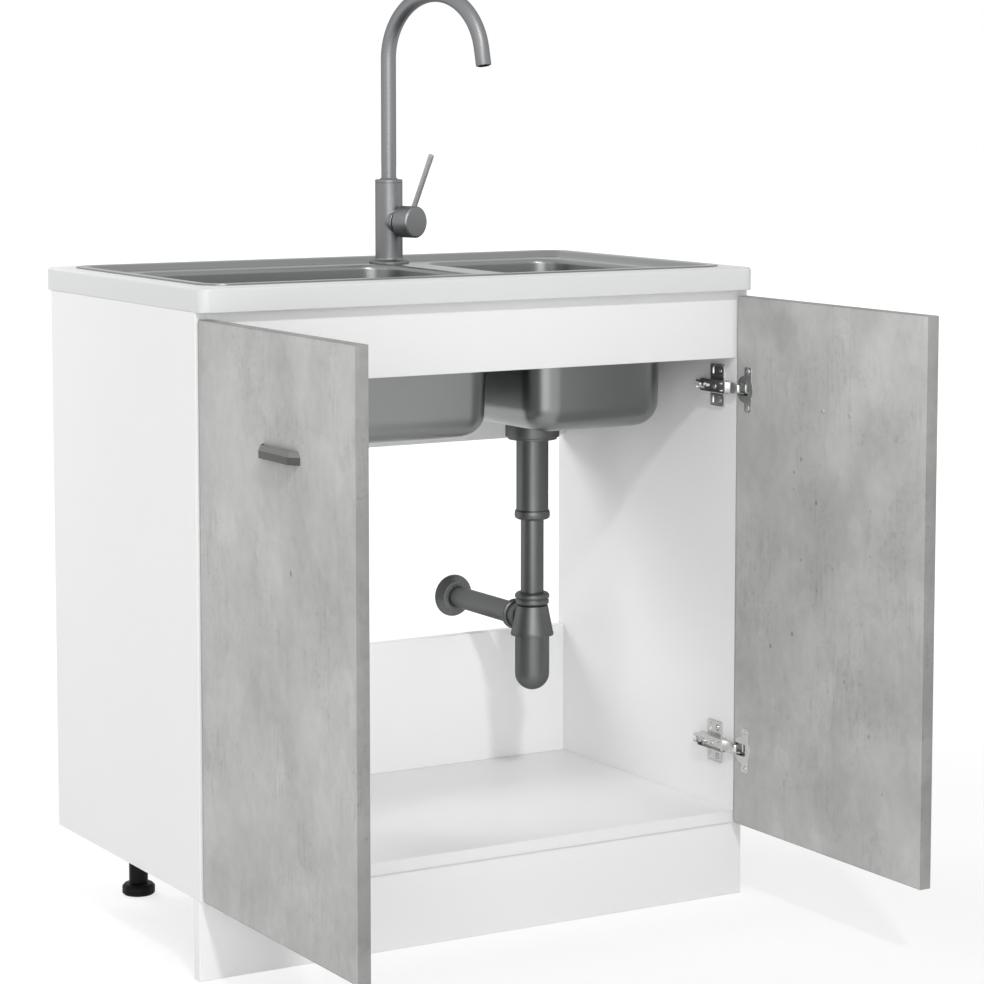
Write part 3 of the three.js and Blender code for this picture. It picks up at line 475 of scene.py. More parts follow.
@dataclass(frozen=True)
class Graph:
    """A material's nodes: its tree, its shader and the place on the object that patterns are drawn from."""

    tree: Tree
    shader: Node
    place: Socket

    def drawn(self, kind: str, sizes: Sequence[float], detail: dict | None = None,
              shift: Sequence[float] = (0.0, 0.0, 0.0), **settings: object) -> Node:
        """A texture drawn at a real size.

        Args:
            kind: The texture node's type.
            sizes: How long its features are along X, Y and Z, in millimetres.
            detail: Its other inputs.
            shift: How far it is moved, as a share of the sizes.
            **settings: The texture's own settings.

        Returns:
            The texture's node.
        """
        scale = [1 / (size * MM) for size in sizes]
        place = {"Vector": self.place, "Scale": scale, "Location": shift}
        inputs = {"Vector": add(self.tree, "ShaderNodeMapping", place), "Scale": 1.0, **(detail or {})}
        return add(self.tree, kind, inputs, **settings)

    def feed(self, name: str, node: Node, output: int = 0) -> None:
        """Links a node's output to one of the shader's inputs."""
        self.tree.links.new(node.outputs[output], self.shader.inputs[name])


class Slot(Enum):
    """The record's material slots."""

    WHITE = "white_board"
    CONCRETE = "concrete_board"
    SINK = "sink_steel"
    TAP = "tap_steel"
    DRAIN = "drain_steel"
    BRASS = "brass_nut"
    HANDLE = "handle_metal"
    NICKEL = "hinge_nickel"
    BLACK = "black_plastic"


@dataclass(frozen=True)
class Finish:
    """What all finishes share: a name, the record's slot, a colour, a roughness and a fine surface grain.

    grain is the width of the surface's grain and grain_depth its height, both in millimetres. An edge below
    1 keeps metal from turning white where it is seen at a grazing angle.
    """

    name: str
    slot: Slot
    colour: str
    roughness: float
    metallic: float = 0.0
    grain: float = 1.0
    grain_depth: float = 0.01
    specular: float = 0.5
    edge: float = 1.0

    def material(self) -> bpy.types.Material:
        """The finish as a material, made once, with its plain numbers set and its pattern linked."""
        if self.name in bpy.data.materials:
            return bpy.data.materials[self.name]
        made = bpy.data.materials.new(self.name)
        made.use_nodes = True
        made.diffuse_color = linear(self.colour)
        shader = made.node_tree.nodes["Principled BSDF"]
        plain = {"Metallic": self.metallic, "Roughness": self.roughness, "Base Color": linear(self.colour),
                 "Specular IOR Level": self.specular,
                 "Specular Tint": (self.edge, self.edge, self.edge, 1.0)}
        for name, value in plain.items():
            shader.inputs[name].default_value = value
        place = add(made.node_tree, "ShaderNodeTexCoord").outputs["Object"]
        self.pattern(Graph(made.node_tree, shader, place))
        return made

    def pattern(self, graph: Graph) -> None:
        """A fine even grain."""
        self.emboss(graph, graph.drawn("ShaderNodeTexNoise", [self.grain] * 3))

    def emboss(self, graph: Graph, height: Node) -> None:
        """Embosses the surface with a height pattern, as deep as the grain."""
        inputs = {"Strength": 1.0, "Distance": self.grain_depth * MM, "Height": height}
        graph.feed("Normal", add(graph.tree, "ShaderNodeBump", inputs))


@dataclass(frozen=True)
class Melamine(Finish):
    """Melamine-faced chipboard. The press plate leaves a pearl grain about a millimetre wide, which softens
    the shine, and the white paper varies a little in tone over a hand's width."""

    drift: float = 160.0
    shade: tuple[float, float, float] = (0.985, 0.987, 0.99)

    def pattern(self, graph: Graph) -> None:
        """The pearl grain, and a tone that drifts by one part in a hundred."""
        paper = linear(self.colour)
        shaded = (*[value * part for value, part in zip(paper, self.shade)], 1.0)
        drift = graph.drawn("ShaderNodeTexNoise", [self.drift] * 3)
        tones = {SHARE: drift, FIRST: paper, SECOND: shaded}
        graph.feed("Base Color", add(graph.tree, "ShaderNodeMix", tones, data_type="RGBA"), MIXED)
        super().pattern(graph)


@dataclass(frozen=True)
class Layer:
    """One tone of a print: noise, stretched from low and high to 0 and 1, with its weight in the sum.

    Its sizes are in millimetres. A layer in patches is seen only where a broad noise is high.
    """

    sizes: tuple[float, float, float]
    detail: float
    weight: float
    low: float = 0.3
    high: float = 0.7
    patches: bool = False


@dataclass(frozen=True)
class ConcretePrint(Finish):
    """A decor paper printed as shuttered concrete, under matt melamine. Clouds as wide as a hand, stains
    with a clear edge, faint board marks, fine mottling, upright smears and flecks in patches, and clusters
    of small pores are all printed at about their real size, so the surface itself is even."""

    dark: str = "#9E9E9C"
    pale: str = "#CBCBC9"
    pore: str = "#6C6C6A"
    clouds: Layer = Layer((180, 180, 220), 7.0, 0.42, 0.34, 0.66)
    blotches: Layer = Layer((60, 60, 66), 8.0, 0.22)
    mottle: Layer = Layer((16, 16, 17), 6.0, 0.15)
    stains: Layer = Layer((75, 75, 95), 9.0, 0.12, 0.5, 0.54)
    speckle: Layer = Layer((5, 5, 5), 3.0, 0.06)
    smears: Layer = Layer((6, 6, 55), 2.0, -0.2, 0.54, 0.7, patches=True)
    flecks: Layer = Layer((7, 7, 7), 4.0, -0.22, 0.57, 0.68, patches=True)
    patch: tuple[float, float, float] = (100, 100, 130)
    patch_range: tuple[float, float] = (0.46, 0.6)
    board: tuple[float, float, float] = (130, 130, 210)
    board_shift: tuple[float, float, float] = (0.3, 0.15, 0.4)
    board_weight: float = 0.11
    crowd: float = 110.0
    crowd_range: tuple[float, float] = (0.45, 0.65)
    crowd_level: tuple[float, float] = (0.93, 0.5)
    pore_cell: tuple[float, float, float] = (16, 16, 22)
    pore_rest: tuple[float, float] = (0.0, 0.4)
    pore_size: tuple[float, float] = (-0.03, 0.16)
    pore_edge: tuple[float, float] = (-0.03, 0.04)
    pore_share: float = 0.65

    def tone(self, graph: Graph) -> Node:
        """The sum of the print's tones, from 0 for dark to 1 for pale."""
        patches = graph.drawn("ShaderNodeTexNoise", self.patch)
        here = add(graph.tree, "ShaderNodeMapRange", [patches, *self.patch_range])
        boards = graph.drawn("ShaderNodeTexVoronoi", self.board, shift=self.board_shift,
                             distance="CHEBYCHEV")
        marks = add(graph.tree, "ShaderNodeSeparateColor", [boards.outputs["Color"]])
        total = add(graph.tree, "ShaderNodeMath", [marks, self.board_weight], operation="MULTIPLY")
        for layer in (self.clouds, self.blotches, self.mottle, self.stains, self.speckle, self.smears,
                      self.flecks):
            noise = graph.drawn("ShaderNodeTexNoise", layer.sizes, {"Detail": layer.detail})
            value = add(graph.tree, "ShaderNodeMapRange", [noise, layer.low, layer.high])
            if layer.patches:
                value = add(graph.tree, "ShaderNodeMath", [value, here], operation="MULTIPLY")
            weighed = add(graph.tree, "ShaderNodeMath", [value, layer.weight], operation="MULTIPLY")
            total = add(graph.tree, "ShaderNodeMath", [total, weighed], operation="ADD")
        return total

    def pores(self, graph: Graph) -> Node:
        """How much of a pore lies here: the middle of a chosen cell, up to 1.5 mm round, drawn out upwards.

        A cell is chosen where its random number passes the crowd's level, and its pore grows with the rest.
        """
        cells = graph.drawn("ShaderNodeTexVoronoi", self.pore_cell)
        _, chosen, _ = add(graph.tree, "ShaderNodeSeparateColor", [cells.outputs["Color"]]).outputs
        crowd = graph.drawn("ShaderNodeTexNoise", [self.crowd] * 3)
        level = add(graph.tree, "ShaderNodeMapRange", [crowd, *self.crowd_range, *self.crowd_level])
        rest = add(graph.tree, "ShaderNodeMath", [chosen, level], operation="SUBTRACT")
        size = add(graph.tree, "ShaderNodeMapRange", [rest, *self.pore_rest, *self.pore_size])
        inside = add(graph.tree, "ShaderNodeMath", [size, cells], operation="SUBTRACT")
        return add(graph.tree, "ShaderNodeMapRange", [inside, *self.pore_edge, 0.0, self.pore_share])

    def pattern(self, graph: Graph) -> None:
        """The print's tones with the pores over them, and the even grain."""
        tones = {SHARE: self.tone(graph), FIRST: linear(self.dark), SECOND: linear(self.pale)}
        ground = add(graph.tree, "ShaderNodeMix", tones, data_type="RGBA").outputs[MIXED]
        marked = {SHARE: self.pores(graph), FIRST: ground, SECOND: linear(self.pore)}
        graph.feed("Base Color", add(graph.tree, "ShaderNodeMix", marked, data_type="RGBA"), MIXED)
        super().pattern(graph)


@dataclass(frozen=True)
class BrushedMetal(Finish):
    """Metal with a satin finish from an abrasive belt. The scratches are a few hundredths of a millimetre
    apart. They are drawn ten times as coarse, so that they show as a faint grain along the brushing."""

    metallic: float = 1.0
    along: tuple[float, float, float] = (60.0, 0.6, 0.6)
    spread: float = 0.08
    detail: float = 3.0
    smear: float = 70.0
    smear_share: float = 0.35
    noise_range: tuple[float, float] = (0.3, 0.7)

    def pattern(self, graph: Graph) -> None:
        """Long thin noise in the roughness and the bump, and slow smears in the roughness."""
        scratches = graph.drawn("ShaderNodeTexNoise", self.along, {"Detail": self.detail})
        smears = graph.drawn("ShaderNodeTexNoise", [self.smear] * 3)
        both = add(graph.tree, "ShaderNodeMix", {0: self.smear_share, 2: scratches, 3: smears})
        low, high = self.roughness - self.spread, self.roughness + self.spread
        graph.feed("Roughness", add(graph.tree, "ShaderNodeMapRange", [both, *self.noise_range, low, high]))
        self.emboss(graph, scratches)


@dataclass(frozen=True)
class PaintedHighlightMetal(BrushedMetal):
    """Dark anodised metal with a painted highlight: its bevel, the face that leans up, is painted paler, as
    light from above would make it. It shows the crease as a line.
    """

    # cut is the painted highlight's colour, laid on the faces that lean up.
    cut: str = "#7F7F7D"
    rise: float = 0.46
    rise_range: float = 0.2

    def pattern(self, graph: Graph) -> None:
        """The brushing, and a paler colour, a painted highlight, on what faces upwards by about 15 to 40
        degrees.
        """
        super().pattern(graph)
        normal = add(graph.tree, "ShaderNodeNewGeometry").outputs["True Normal"]
        _, _, rise = add(graph.tree, "ShaderNodeSeparateXYZ", [normal]).outputs
        # Faces that lean up get the paler colour: a painted highlight, not a change in the metal.
        leans = add(graph.tree, "ShaderNodeMath", [rise, self.rise, self.rise_range], operation="COMPARE")
        cut = {SHARE: leans, FIRST: linear(self.colour), SECOND: linear(self.cut)}
        graph.feed("Base Color", add(graph.tree, "ShaderNodeMix", cut, data_type="RGBA"), MIXED)


# The boards: an even white that a soft shine keeps from looking like paint.
WHITE = Melamine("melamine_white", Slot.WHITE, "#EFEFEF", 0.42, grain=1.1, grain_depth=0.004)
# The worktop: a shade darker, so that its rounded edge shows between the boards and the steel.
WORKTOP = Melamine("laminate_white_worktop", Slot.WHITE, "#DCDDDD", 0.42, grain=1.4, grain_depth=0.005)
# The doors: grey clouds with dull, even light on them.
CONCRETE = ConcretePrint("melamine_concrete_print", Slot.CONCRETE, "#B2B2B0", 0.62, grain=0.7,
                         grain_depth=0.006)
# The doors' edges: a darker copy of the doors' print, painted shade that gives the leaf its thickness.
EDGING_PAINTED_SHADE = ConcretePrint("abs_edging_concrete_print", Slot.CONCRETE, "#A6A6A4", 0.6, grain=0.7,
                       grain_depth=0.006, dark="#787876", pale="#A4A4A2")
# The sink: long soft highlights on its rolls, and dark walls between them.
SINK = BrushedMetal("stainless_sheet_satin", Slot.SINK, "#898B8B", 0.3, grain_depth=0.0001,
                    along=(45.0, 1.6, 1.6), spread=0.015)
# The tap: a broad dull sheen down the tube, and edges that stay grey against the white.
TAP = BrushedMetal("stainless_tap_brushed", Slot.TAP, "#898A8B", 0.46, grain_depth=0.0008,
                   along=(0.8, 0.8, 30.0), spread=0.04, edge=0.45)
# The lever's pin: even grey from top to foot. As a thin rod shows no highlight of its own, it is the tap's
# steel painted paler and less metallic: a painted sheen.
PIN_PAINTED_SHEEN = BrushedMetal("stainless_pin_painted_sheen", Slot.TAP, "#B4B5B5", 0.5, 0.55, grain_depth=0.0004,
                   along=(0.8, 0.8, 30.0), spread=0.03, edge=0.3)
# The drains: a deeper grey than the sink above them, with a bright line down each pipe.
DRAIN = BrushedMetal("nickelled_brass_satin", Slot.DRAIN, "#717372", 0.42, grain_depth=0.0008,
                     along=(0.8, 0.8, 24.0), spread=0.04, edge=0.5)
# The handles: dark metal, brushed lengthways, with a painted highlight on the bevel that leans up.
HANDLE = PaintedHighlightMetal("anodised_aluminium_dark", Slot.HANDLE, "#595A59", 0.45, grain_depth=0.001,
                      along=(0.8, 24.0, 0.8), spread=0.04)
# The hinges: bright plating that mirrors black and white side by side.
NICKEL = BrushedMetal("nickel_plated_steel", Slot.NICKEL, "#D3D4D2", 0.24, grain_depth=0.001,
                      along=(2.0, 2.0, 2.0), spread=0.04)
# The handles' screws: two pale dull dots on the inside of each door.
ZINC = Finish("zinc_plated_screw", Slot.NICKEL, "#C4C4C2", 0.5, 0.6, grain_depth=0.002)
# The lock nut: warm yellow, below the deck.
BRASS = BrushedMetal("brass_turned", Slot.BRASS, "#B9984F", 0.3, grain_depth=0.001, along=(1.5, 1.5, 1.5),
                     spread=0.05)
# The strainers' slots: dark discs that stand in for open slots, painted shade where nothing is seen through
# them.
SLOT_PAINTED_SHADE = Finish("hollow_shadow_steel", Slot.SINK, "#2B2C2C", 0.6, 1.0, grain=2.0, grain_depth=0.002)
# The legs: near black, with hardly a shine.
BLACK = Finish("polypropylene_black", Slot.BLACK, "#0C0C0C", 0.55, grain=0.8, grain_depth=0.02,
               specular=0.15)


# Placing


class Side(Enum):
    """The cabinet's two sides."""

    LEFT = "left"
    RIGHT = "right"

    def place(self, shell: Shell) -> Shell:
        """A shell made for the left side, on this side."""
        return shell if self is Side.LEFT else shell.mirrored()


def corners(node: str) -> tuple[np.ndarray, np.ndarray]:
    """The lowest and highest corner of a frame node, in millimetres."""
    low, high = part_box(node)
    return np.array(low) / MM, np.array(high) / MM


def middle(node: str) -> np.ndarray:
    """The middle of a frame node's box, in millimetres."""
    low, high = corners(node)
    return (low + high) / 2


def dress(shell: Shell, name: str, body: str, finish: Finish, nodes: Iterable[str] = (),
          sharp: float = SHARP) -> None:
    """Makes a shell a piece of the object.

    Args:
        shell: The piece's shape, in place.
        name: The piece's name.
        body: The frame body that it rides on.
        finish: Its finish.
        nodes: The frame nodes that it stands for.
        sharp: The angle past which its edges stay sharp.
    """
    item = shell.mesh(name, sharp)
    item.data.materials.append(finish.material())
    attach(item, body)
    if nodes:
        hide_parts(*nodes)
    log.info("%s rides on %s with %d faces", name, body, len(item.data.polygons))


# The carcass


@dataclass(frozen=True)
class Carcass:
    """The white boards, the worktop and the legs."""

    boards: tuple[str, ...] = ("side_panel_left", "side_panel_right", "bottom_panel", "front_top_rail",
                               "back_top_rail", "back_low_rail", "plinth_board")
    board_edge: float = 0.8
    worktop_radius: float = 13.0
    worktop_round: float = 4.0
    worktop_under: float = 1.2
    cutout_inset: float = 12.0
    sink_corner: float = 35.0
    socket_radius: float = 12.6
    socket_groove: float = 0.6
    socket_flange: float = 28.0
    socket_depth: float = 65.0
    stem_radius: float = 6.0
    stem_gap: float = 0.3
    stem_length: float = 55.0
    foot_radius: float = 22.0
    foot_height: float = 15.0
    foot_notches: int = 12
    notch_depth: float = 0.5

    def build(self) -> None:
        """Dresses the boards, the worktop and the legs."""
        for node in self.boards:
            dress(board(*corners(node), self.board_edge), f"{node}_melamine", "cabinet", WHITE, [node])
        dress(self.worktop(), "worktop_laminated", "cabinet", WORKTOP, ["worktop"])
        for place in ("front_left", "front_right", "back_left", "back_right"):
            self.leg(place)

    def worktop(self) -> Shell:
        """A profile of (grow, z) rows carried round the worktop's plan, and the cut-out's wall."""
        low, high = corners("worktop")
        hole = Plan.between(*corners("sink"), self.sink_corner)
        inside = -self.worktop_radius
        edge = rounded([(inside, low[2], 0), (0, low[2], self.worktop_under),
                        (0, high[2], self.worktop_round), (inside, high[2], 0)], steps=8)[1:-1]
        wall = np.array([[-self.cutout_inset, high[2]], [-self.cutout_inset, low[2]]])
        outer = Plan.between(low, high, self.worktop_radius).rings(edge)
        return skin(np.concatenate([outer, hole.rings(wall)]), loop=True)

    def leg(self, place: str) -> None:
        """A screw-in leg: a flanged socket under the floor board and a foot with grip notches."""
        name = f"leg_socket_{place}"
        (_, _, foot), (_, _, top) = corners(name)
        x, y, _ = middle(name)
        wall, groove = self.socket_radius, self.socket_radius - self.socket_groove
        stem, bore, roof = self.stem_radius, self.stem_radius + self.stem_gap, foot + self.socket_depth
        socket = turned_rod([
            (0, top, 0), (self.socket_flange, top, 0.5), (self.socket_flange, top - 4, 1),
            (wall + 1.2, top - 7, 2.5), (wall, foot + 30, 0), (wall, foot + 3.2, 0.4),
            (groove, foot + 2.8, 0), (groove, foot, 0.4), (bore, foot, 0), (bore, roof, 0),
            (0, roof, 0)], 48)
        dress(socket.moved(x, y), f"{name}_moulded", "cabinet", BLACK, [name])
        height, wide, head = self.foot_height, self.foot_radius, self.foot_height + self.stem_length
        pad = lathe(rounded([
            (0, 0, 0), (wide - 2.4, 0, 0.6), (wide, 2.2, 0.8), (wide, height - 3.8, 0.5),
            (wide - 3.2, height - 0.4, 0.6), (stem + 3, height, 1), (stem, height, 0), (stem, head, 0.6),
            (0, head, 0)]), 96, self.notch_depth, self.foot_notches)
        name = f"leg_foot_{place}"
        dress(pad.moved(x, y), f"{name}_moulded", f"foot_{place}", BLACK, [name])


# The sink


@dataclass(frozen=True)
class Sink:
    """The pressed steel sink with two bowls, and the strainer in each."""

    corner: float = 35.0
    corner_steps: int = 14
    sheet: float = 2.0
    rim: float = 14.0
    rim_edge: float = 0.9
    slope: float = 9.0
    slope_head: float = 9.0
    slope_foot: float = 11.0
    deck_start: float = 5.0
    deck_drop: float = 8.0
    bowl_depth: float = 206.0
    bowl_corner: float = 48.0
    floor_corner: float = 9.0
    mouth_lip: float = 5.5
    mouth_inset: float = 8.0
    mouth_round: float = 13.0
    draft: float = 6.0
    floor_round: float = 58.0
    floor_flat: float = 4.0
    front: float = 45.0
    back: float = 57.0
    side: float = 44.0
    divider: float = 38.0
    small_bowl: float = 230.0
    drain: float = 33.0
    tap_hole: float = 16.8
    slot_ring: float = 21.5
    slot_count: int = 10
    strainer_rows: Outline = (
        (0, -12, 0), (26, -12, 4), (31, -8, 1), (31, 0, 0), (41, 0, 0.1), (41, 1.3, 0.6), (36, 1.5, 1),
        (33, 0.6, 0.6), (30, -2.6, 2), (12, -4.2, 4), (5.5, -2.5, 2), (3.6, 1, 1), (3.6, 8.3, 1),
        (6.9, 9.2, 0.8), (7, 12.6, 1.2), (0, 13.5, 0))
    slot_rows: Outline = ((0, -3.9, 0), (1.9, -3.9, 0), (1.9, -2.9, 0.3), (0, -2.75, 0))

    def plans(self) -> dict[Side, Plan]:
        """Each bowl's plan."""
        low, high = corners("sink")
        y0, y1 = low[1] + self.front, high[1] - self.back
        right = high[0] - self.side
        split = right - self.small_bowl
        return {Side.LEFT: Plan(low[0] + self.side, split - self.divider, y0, y1, self.bowl_corner),
                Side.RIGHT: Plan(split, right, y0, y1, self.bowl_corner)}

    def rim_profile(self, z: float) -> np.ndarray:
        """(grow, z) rows of one face of the sheet, from the rim at a height down its slope to the deck."""
        deck, foot = z - self.deck_drop, -self.rim - self.slope
        return rounded([(-0.8, z, 0), (-self.rim, z, self.slope_head), (foot, deck, self.slope_foot),
                        (foot - self.deck_start, deck, 0)], steps=7)[1:]

    def bowl_profile(self, out: float, deck: float) -> np.ndarray:
        """(grow, z) rows down a bowl's wall and in over its floor.

        Args:
            out: 0 for the inner face, or the sheet's thickness for the outer face.
            deck: The deck's upper face.

        Returns:
            The rows, from the mouth inwards.
        """
        floor, wall = deck - self.bowl_depth - out, -self.mouth_inset - self.draft
        return rounded([(self.mouth_lip, deck - out, 0),
                        (-self.mouth_inset + out, deck - out, self.mouth_round - out),
                        (wall + out, floor, self.floor_round + out),
                        (wall - self.floor_round - self.floor_flat, floor, 0)], steps=12)

    def build(self) -> None:
        """Dresses the pressing and the strainers."""
        low, high = corners("sink")
        whole = Plan.between(low, high, self.corner)
        top, deck, floor = high[2], high[2] - self.deck_drop, low[2] + self.sheet
        under = top - self.sheet
        edge = rounded([(-0.2, under, 0), (0, under + 0.2, 0), (0, top, self.rim_edge),
                        (-1.6, top, 0)], steps=4)
        upper = whole.rings(np.vstack([edge, self.rim_profile(top)]), self.corner_steps)
        lower = whole.rings(np.vstack([edge[:1], self.rim_profile(under)]), self.corner_steps)
        taps = middle("tap_lock_nut")
        hole = circle(self.tap_hole, 40, taps[0], taps[1])
        upper_holes, lower_holes = [at_height(hole, deck)], [at_height(hole, deck - self.sheet)]
        shell = skin(upper) + skin(np.stack([upper_holes[0], lower_holes[0]]))
        for side, plan in self.plans().items():
            inner, outer = (plan.rings(self.bowl_profile(out, deck), self.corner_steps, self.floor_corner)
                            for out in (0.0, self.sheet))
            x, y, _ = middle(f"tail_pipe_{side.value}")
            drain = circle(self.drain, 64, x, y)
            mouth, foot = at_height(drain, floor), at_height(drain, low[2])
            shell += skin(inner) + pierced(inner[-1], [mouth], True) + skin(np.stack([mouth, foot]))
            shell += skin(outer[::-1]) + pierced(outer[-1], [foot], False)
            upper_holes.append(inner[0])
            lower_holes.append(outer[0])
            self.strainer(side, x, y, floor)
        shell += pierced(upper[-1], upper_holes, True)
        shell += skin(lower[::-1]) + pierced(lower[-1], lower_holes, False)
        dress(shell, "sink_pressing", "cabinet", SINK, ["sink"], 40)

    def strainer(self, side: Side, x: float, y: float, floor: float) -> None:
        """A lift-out strainer: a rim, a dished plate and a knob, with a ring of dark discs on the plate,
        painted shade for its slots.
        """
        name = f"strainer_{side.value}"
        plate = turned_rod(self.strainer_rows, 96)
        dress(plate.moved(x, y, floor), f"{name}_pressed", name, SINK, [name])
        # The slots aren't cut: dark discs, painted shade, sit on the plate in their place.
        slots = [turned_rod(self.slot_rows, 16).moved(a, b, 0.1)
                 for a, b in circle(self.slot_ring, self.slot_count)]
        dress(reduce(Shell.__add__, slots).moved(x, y, floor), f"{name}_holes", name, SLOT_PAINTED_SHADE)


# The drains


@dataclass(frozen=True)
class Drain:
    """The fittings under a bowl, from the waste cup to the wall."""

    pipe: float = 15.7
    pipe_wall: float = 1.7
    gap: float = 0.3
    cup: float = 37.0
    tail: float = 22.0
    bead: float = 24.4
    nut: float = 23.7
    body_top: float = 21.7
    body_wall: float = 3.0
    body_low: float = 28.8
    lip: float = 29.4
    stub: float = 17.0
    stub_start: float = 18.0
    stub_length: float = 41.0
    bottle: float = 23.6
    bottle_wall: float = 2.0
    bottle_gap: float = 0.4
    outlet: float = 15.0
    collar: float = 21.0
    flange: float = 30.0
    flange_step: float = 20.0

    def build(self) -> None:
        """Dresses the fittings of both drains, each on its body."""
        for side in Side:
            x, y, _ = middle(f"tail_pipe_{side.value}")
            level = middle(f"outlet_pipe_{side.value}")[2]
            shells = {name: shell.moved(x, y) for name, shell in self.upright(side, level).items()}
            for name, shell in self.laid(side, y).items():
                shells[name] = self.flat(shell, level).moved(x, y)
            for name, shell in shells.items():
                node = f"{name}_{side.value}"
                body = f"bottle_{side.value}" if name == "trap_bottle" else "cabinet"
                dress(shell, f"{node}_turned", body, DRAIN, [node])

    def flat(self, shell: Shell, level: float) -> Shell:
        """A shell turned about Z, laid towards the wall at a height."""
        return shell.turned(0, -90).moved(z=level)

    def upright(self, side: Side, level: float) -> dict[str, Shell]:
        """The fittings that stand about the drain's axis, with the outlet's stub at the given height."""
        def ends(name: str) -> tuple[float, float]:
            """The heights of a fitting's foot and head."""
            low, high = corners(f"{name}_{side.value}")
            return low[2], high[2]

        bore = self.pipe + self.gap
        foot, head = ends("waste_cup")
        wall, step = self.cup - 4, self.cup - 3.4
        cup = turned_ring([
            (wall, head, 0), (wall, foot + 4, 1), (bore, foot + 4, 0), (bore, foot, 0), (step, foot, 0.8),
            (step, foot + 3, 0.6), (self.cup, foot + 3.6, 0.9), (self.cup, head, 0.3)])
        foot, head = ends("tail_pipe")
        bead = self.bead - 0.6
        tail = turned_ring([
            (bore, head, 0), (bore, foot, 0), (self.tail - 1, foot, 1), (bead, foot + 2, 1.6),
            (self.bead, foot + 6.5, 3), (bead, foot + 11, 1.6), (self.tail, foot + 13, 0.8),
            (self.tail, head, 0)])
        foot, head = ends("drop_pipe")
        inner = self.pipe - self.pipe_wall
        drop = turned_ring([(inner, head, 0), (inner, foot, 0), (self.pipe, foot, 0.3),
                            (self.pipe, head, 0.3)])
        foot, head = ends("trap_nut")
        half, low_nut = (foot + head) / 2, self.nut - 0.7
        nut = turned_ring([
            (bore, head, 0), (bore, foot, 0), (self.nut - 3, foot, 1), (low_nut, foot + 2.4, 1.8),
            (low_nut, half - 1.6, 0.8), (self.nut - 2.2, half, 0.9), (self.nut, half + 1.8, 1.2),
            (self.nut, head - 3, 1.8), (self.nut - 2.6, head, 1.6)])
        foot, head = ends("trap_body")
        mouth, neck = self.bottle + self.bottle_gap, self.body_top - self.body_wall
        cone = turned_ring([
            (mouth, foot, 0), (self.lip, foot, 0.6), (self.lip, foot + 3.6, 0.8),
            (self.body_low, foot + 4.4, 0.5), (self.body_top, head - 1, 2), (neck, head, 1),
            (bore, head, 0), (bore, head - 4, 0), (neck, head - 4, 0), (neck, foot + 6, 0),
            (mouth, foot + 6, 0)])
        start, end, opening = self.stub_start, self.stub_length, self.outlet + self.gap
        stub = turned_ring([(self.stub + 3.4, start, 0), (self.stub, 27.5, 3), (self.stub, end, 0.4),
                            (opening, end, 0), (opening, start, 0)])
        foot, head = ends("trap_bottle")
        curve, inner = np.linspace(0, math.pi / 2, 14), self.bottle - self.bottle_wall
        outside = np.stack([self.bottle * np.sin(curve), foot + self.bottle * (1 - np.cos(curve))], 1)
        inside = np.stack([inner * np.sin(curve), foot + self.bottle_wall + inner * (1 - np.cos(curve))], 1)
        bottle = lathe(np.vstack([outside, [[self.bottle, head], [inner, head]], inside[::-1]]))
        return {"waste_cup": cup, "tail_pipe": tail, "drop_pipe": drop, "trap_nut": nut,
                "trap_body": fused(cone, self.flat(stub, level)), "trap_bottle": bottle}

    def laid(self, side: Side, y: float) -> dict[str, Shell]:
        """The fittings along the outlet, turned about Z with the wall upwards, for a drain at y."""
        def ends(name: str) -> tuple[float, float]:
            """How far a fitting's two ends lie from the drain's axis."""
            low, high = corners(f"{name}_{side.value}")
            return low[1] - y, high[1] - y

        bore = self.outlet + self.gap
        near, _ = ends("outlet_collar")
        collar = turned_ring([
            (bore, near, 0), (self.collar - 3, near, 1.5), (self.collar, near + 2.5, 2),
            (self.collar, near + 6.5, 2), (self.collar - 3, near + 9, 1.5), (bore, near + 9, 0)])
        near, far = ends("outlet_pipe")
        inner = self.outlet - 2
        pipe = turned_ring([(inner, near, 0), (self.outlet, near, 0), (self.outlet, far, 0.3),
                            (inner, far, 0)])
        near, far = ends("wall_flange")
        flange = turned_ring([
            (bore, near, 0), (self.flange_step - 1.5, near, 1), (self.flange_step, near + 2.5, 1),
            (self.flange_step + 1.2, near + 6, 3), (self.flange - 3.5, far - 5, 5),
            (self.flange, far - 1.6, 1), (self.flange, far, 0.5), (bore, far, 0)])
        return {"outlet_collar": collar, "outlet_pipe": pipe, "wall_flange": flange}


# The tap


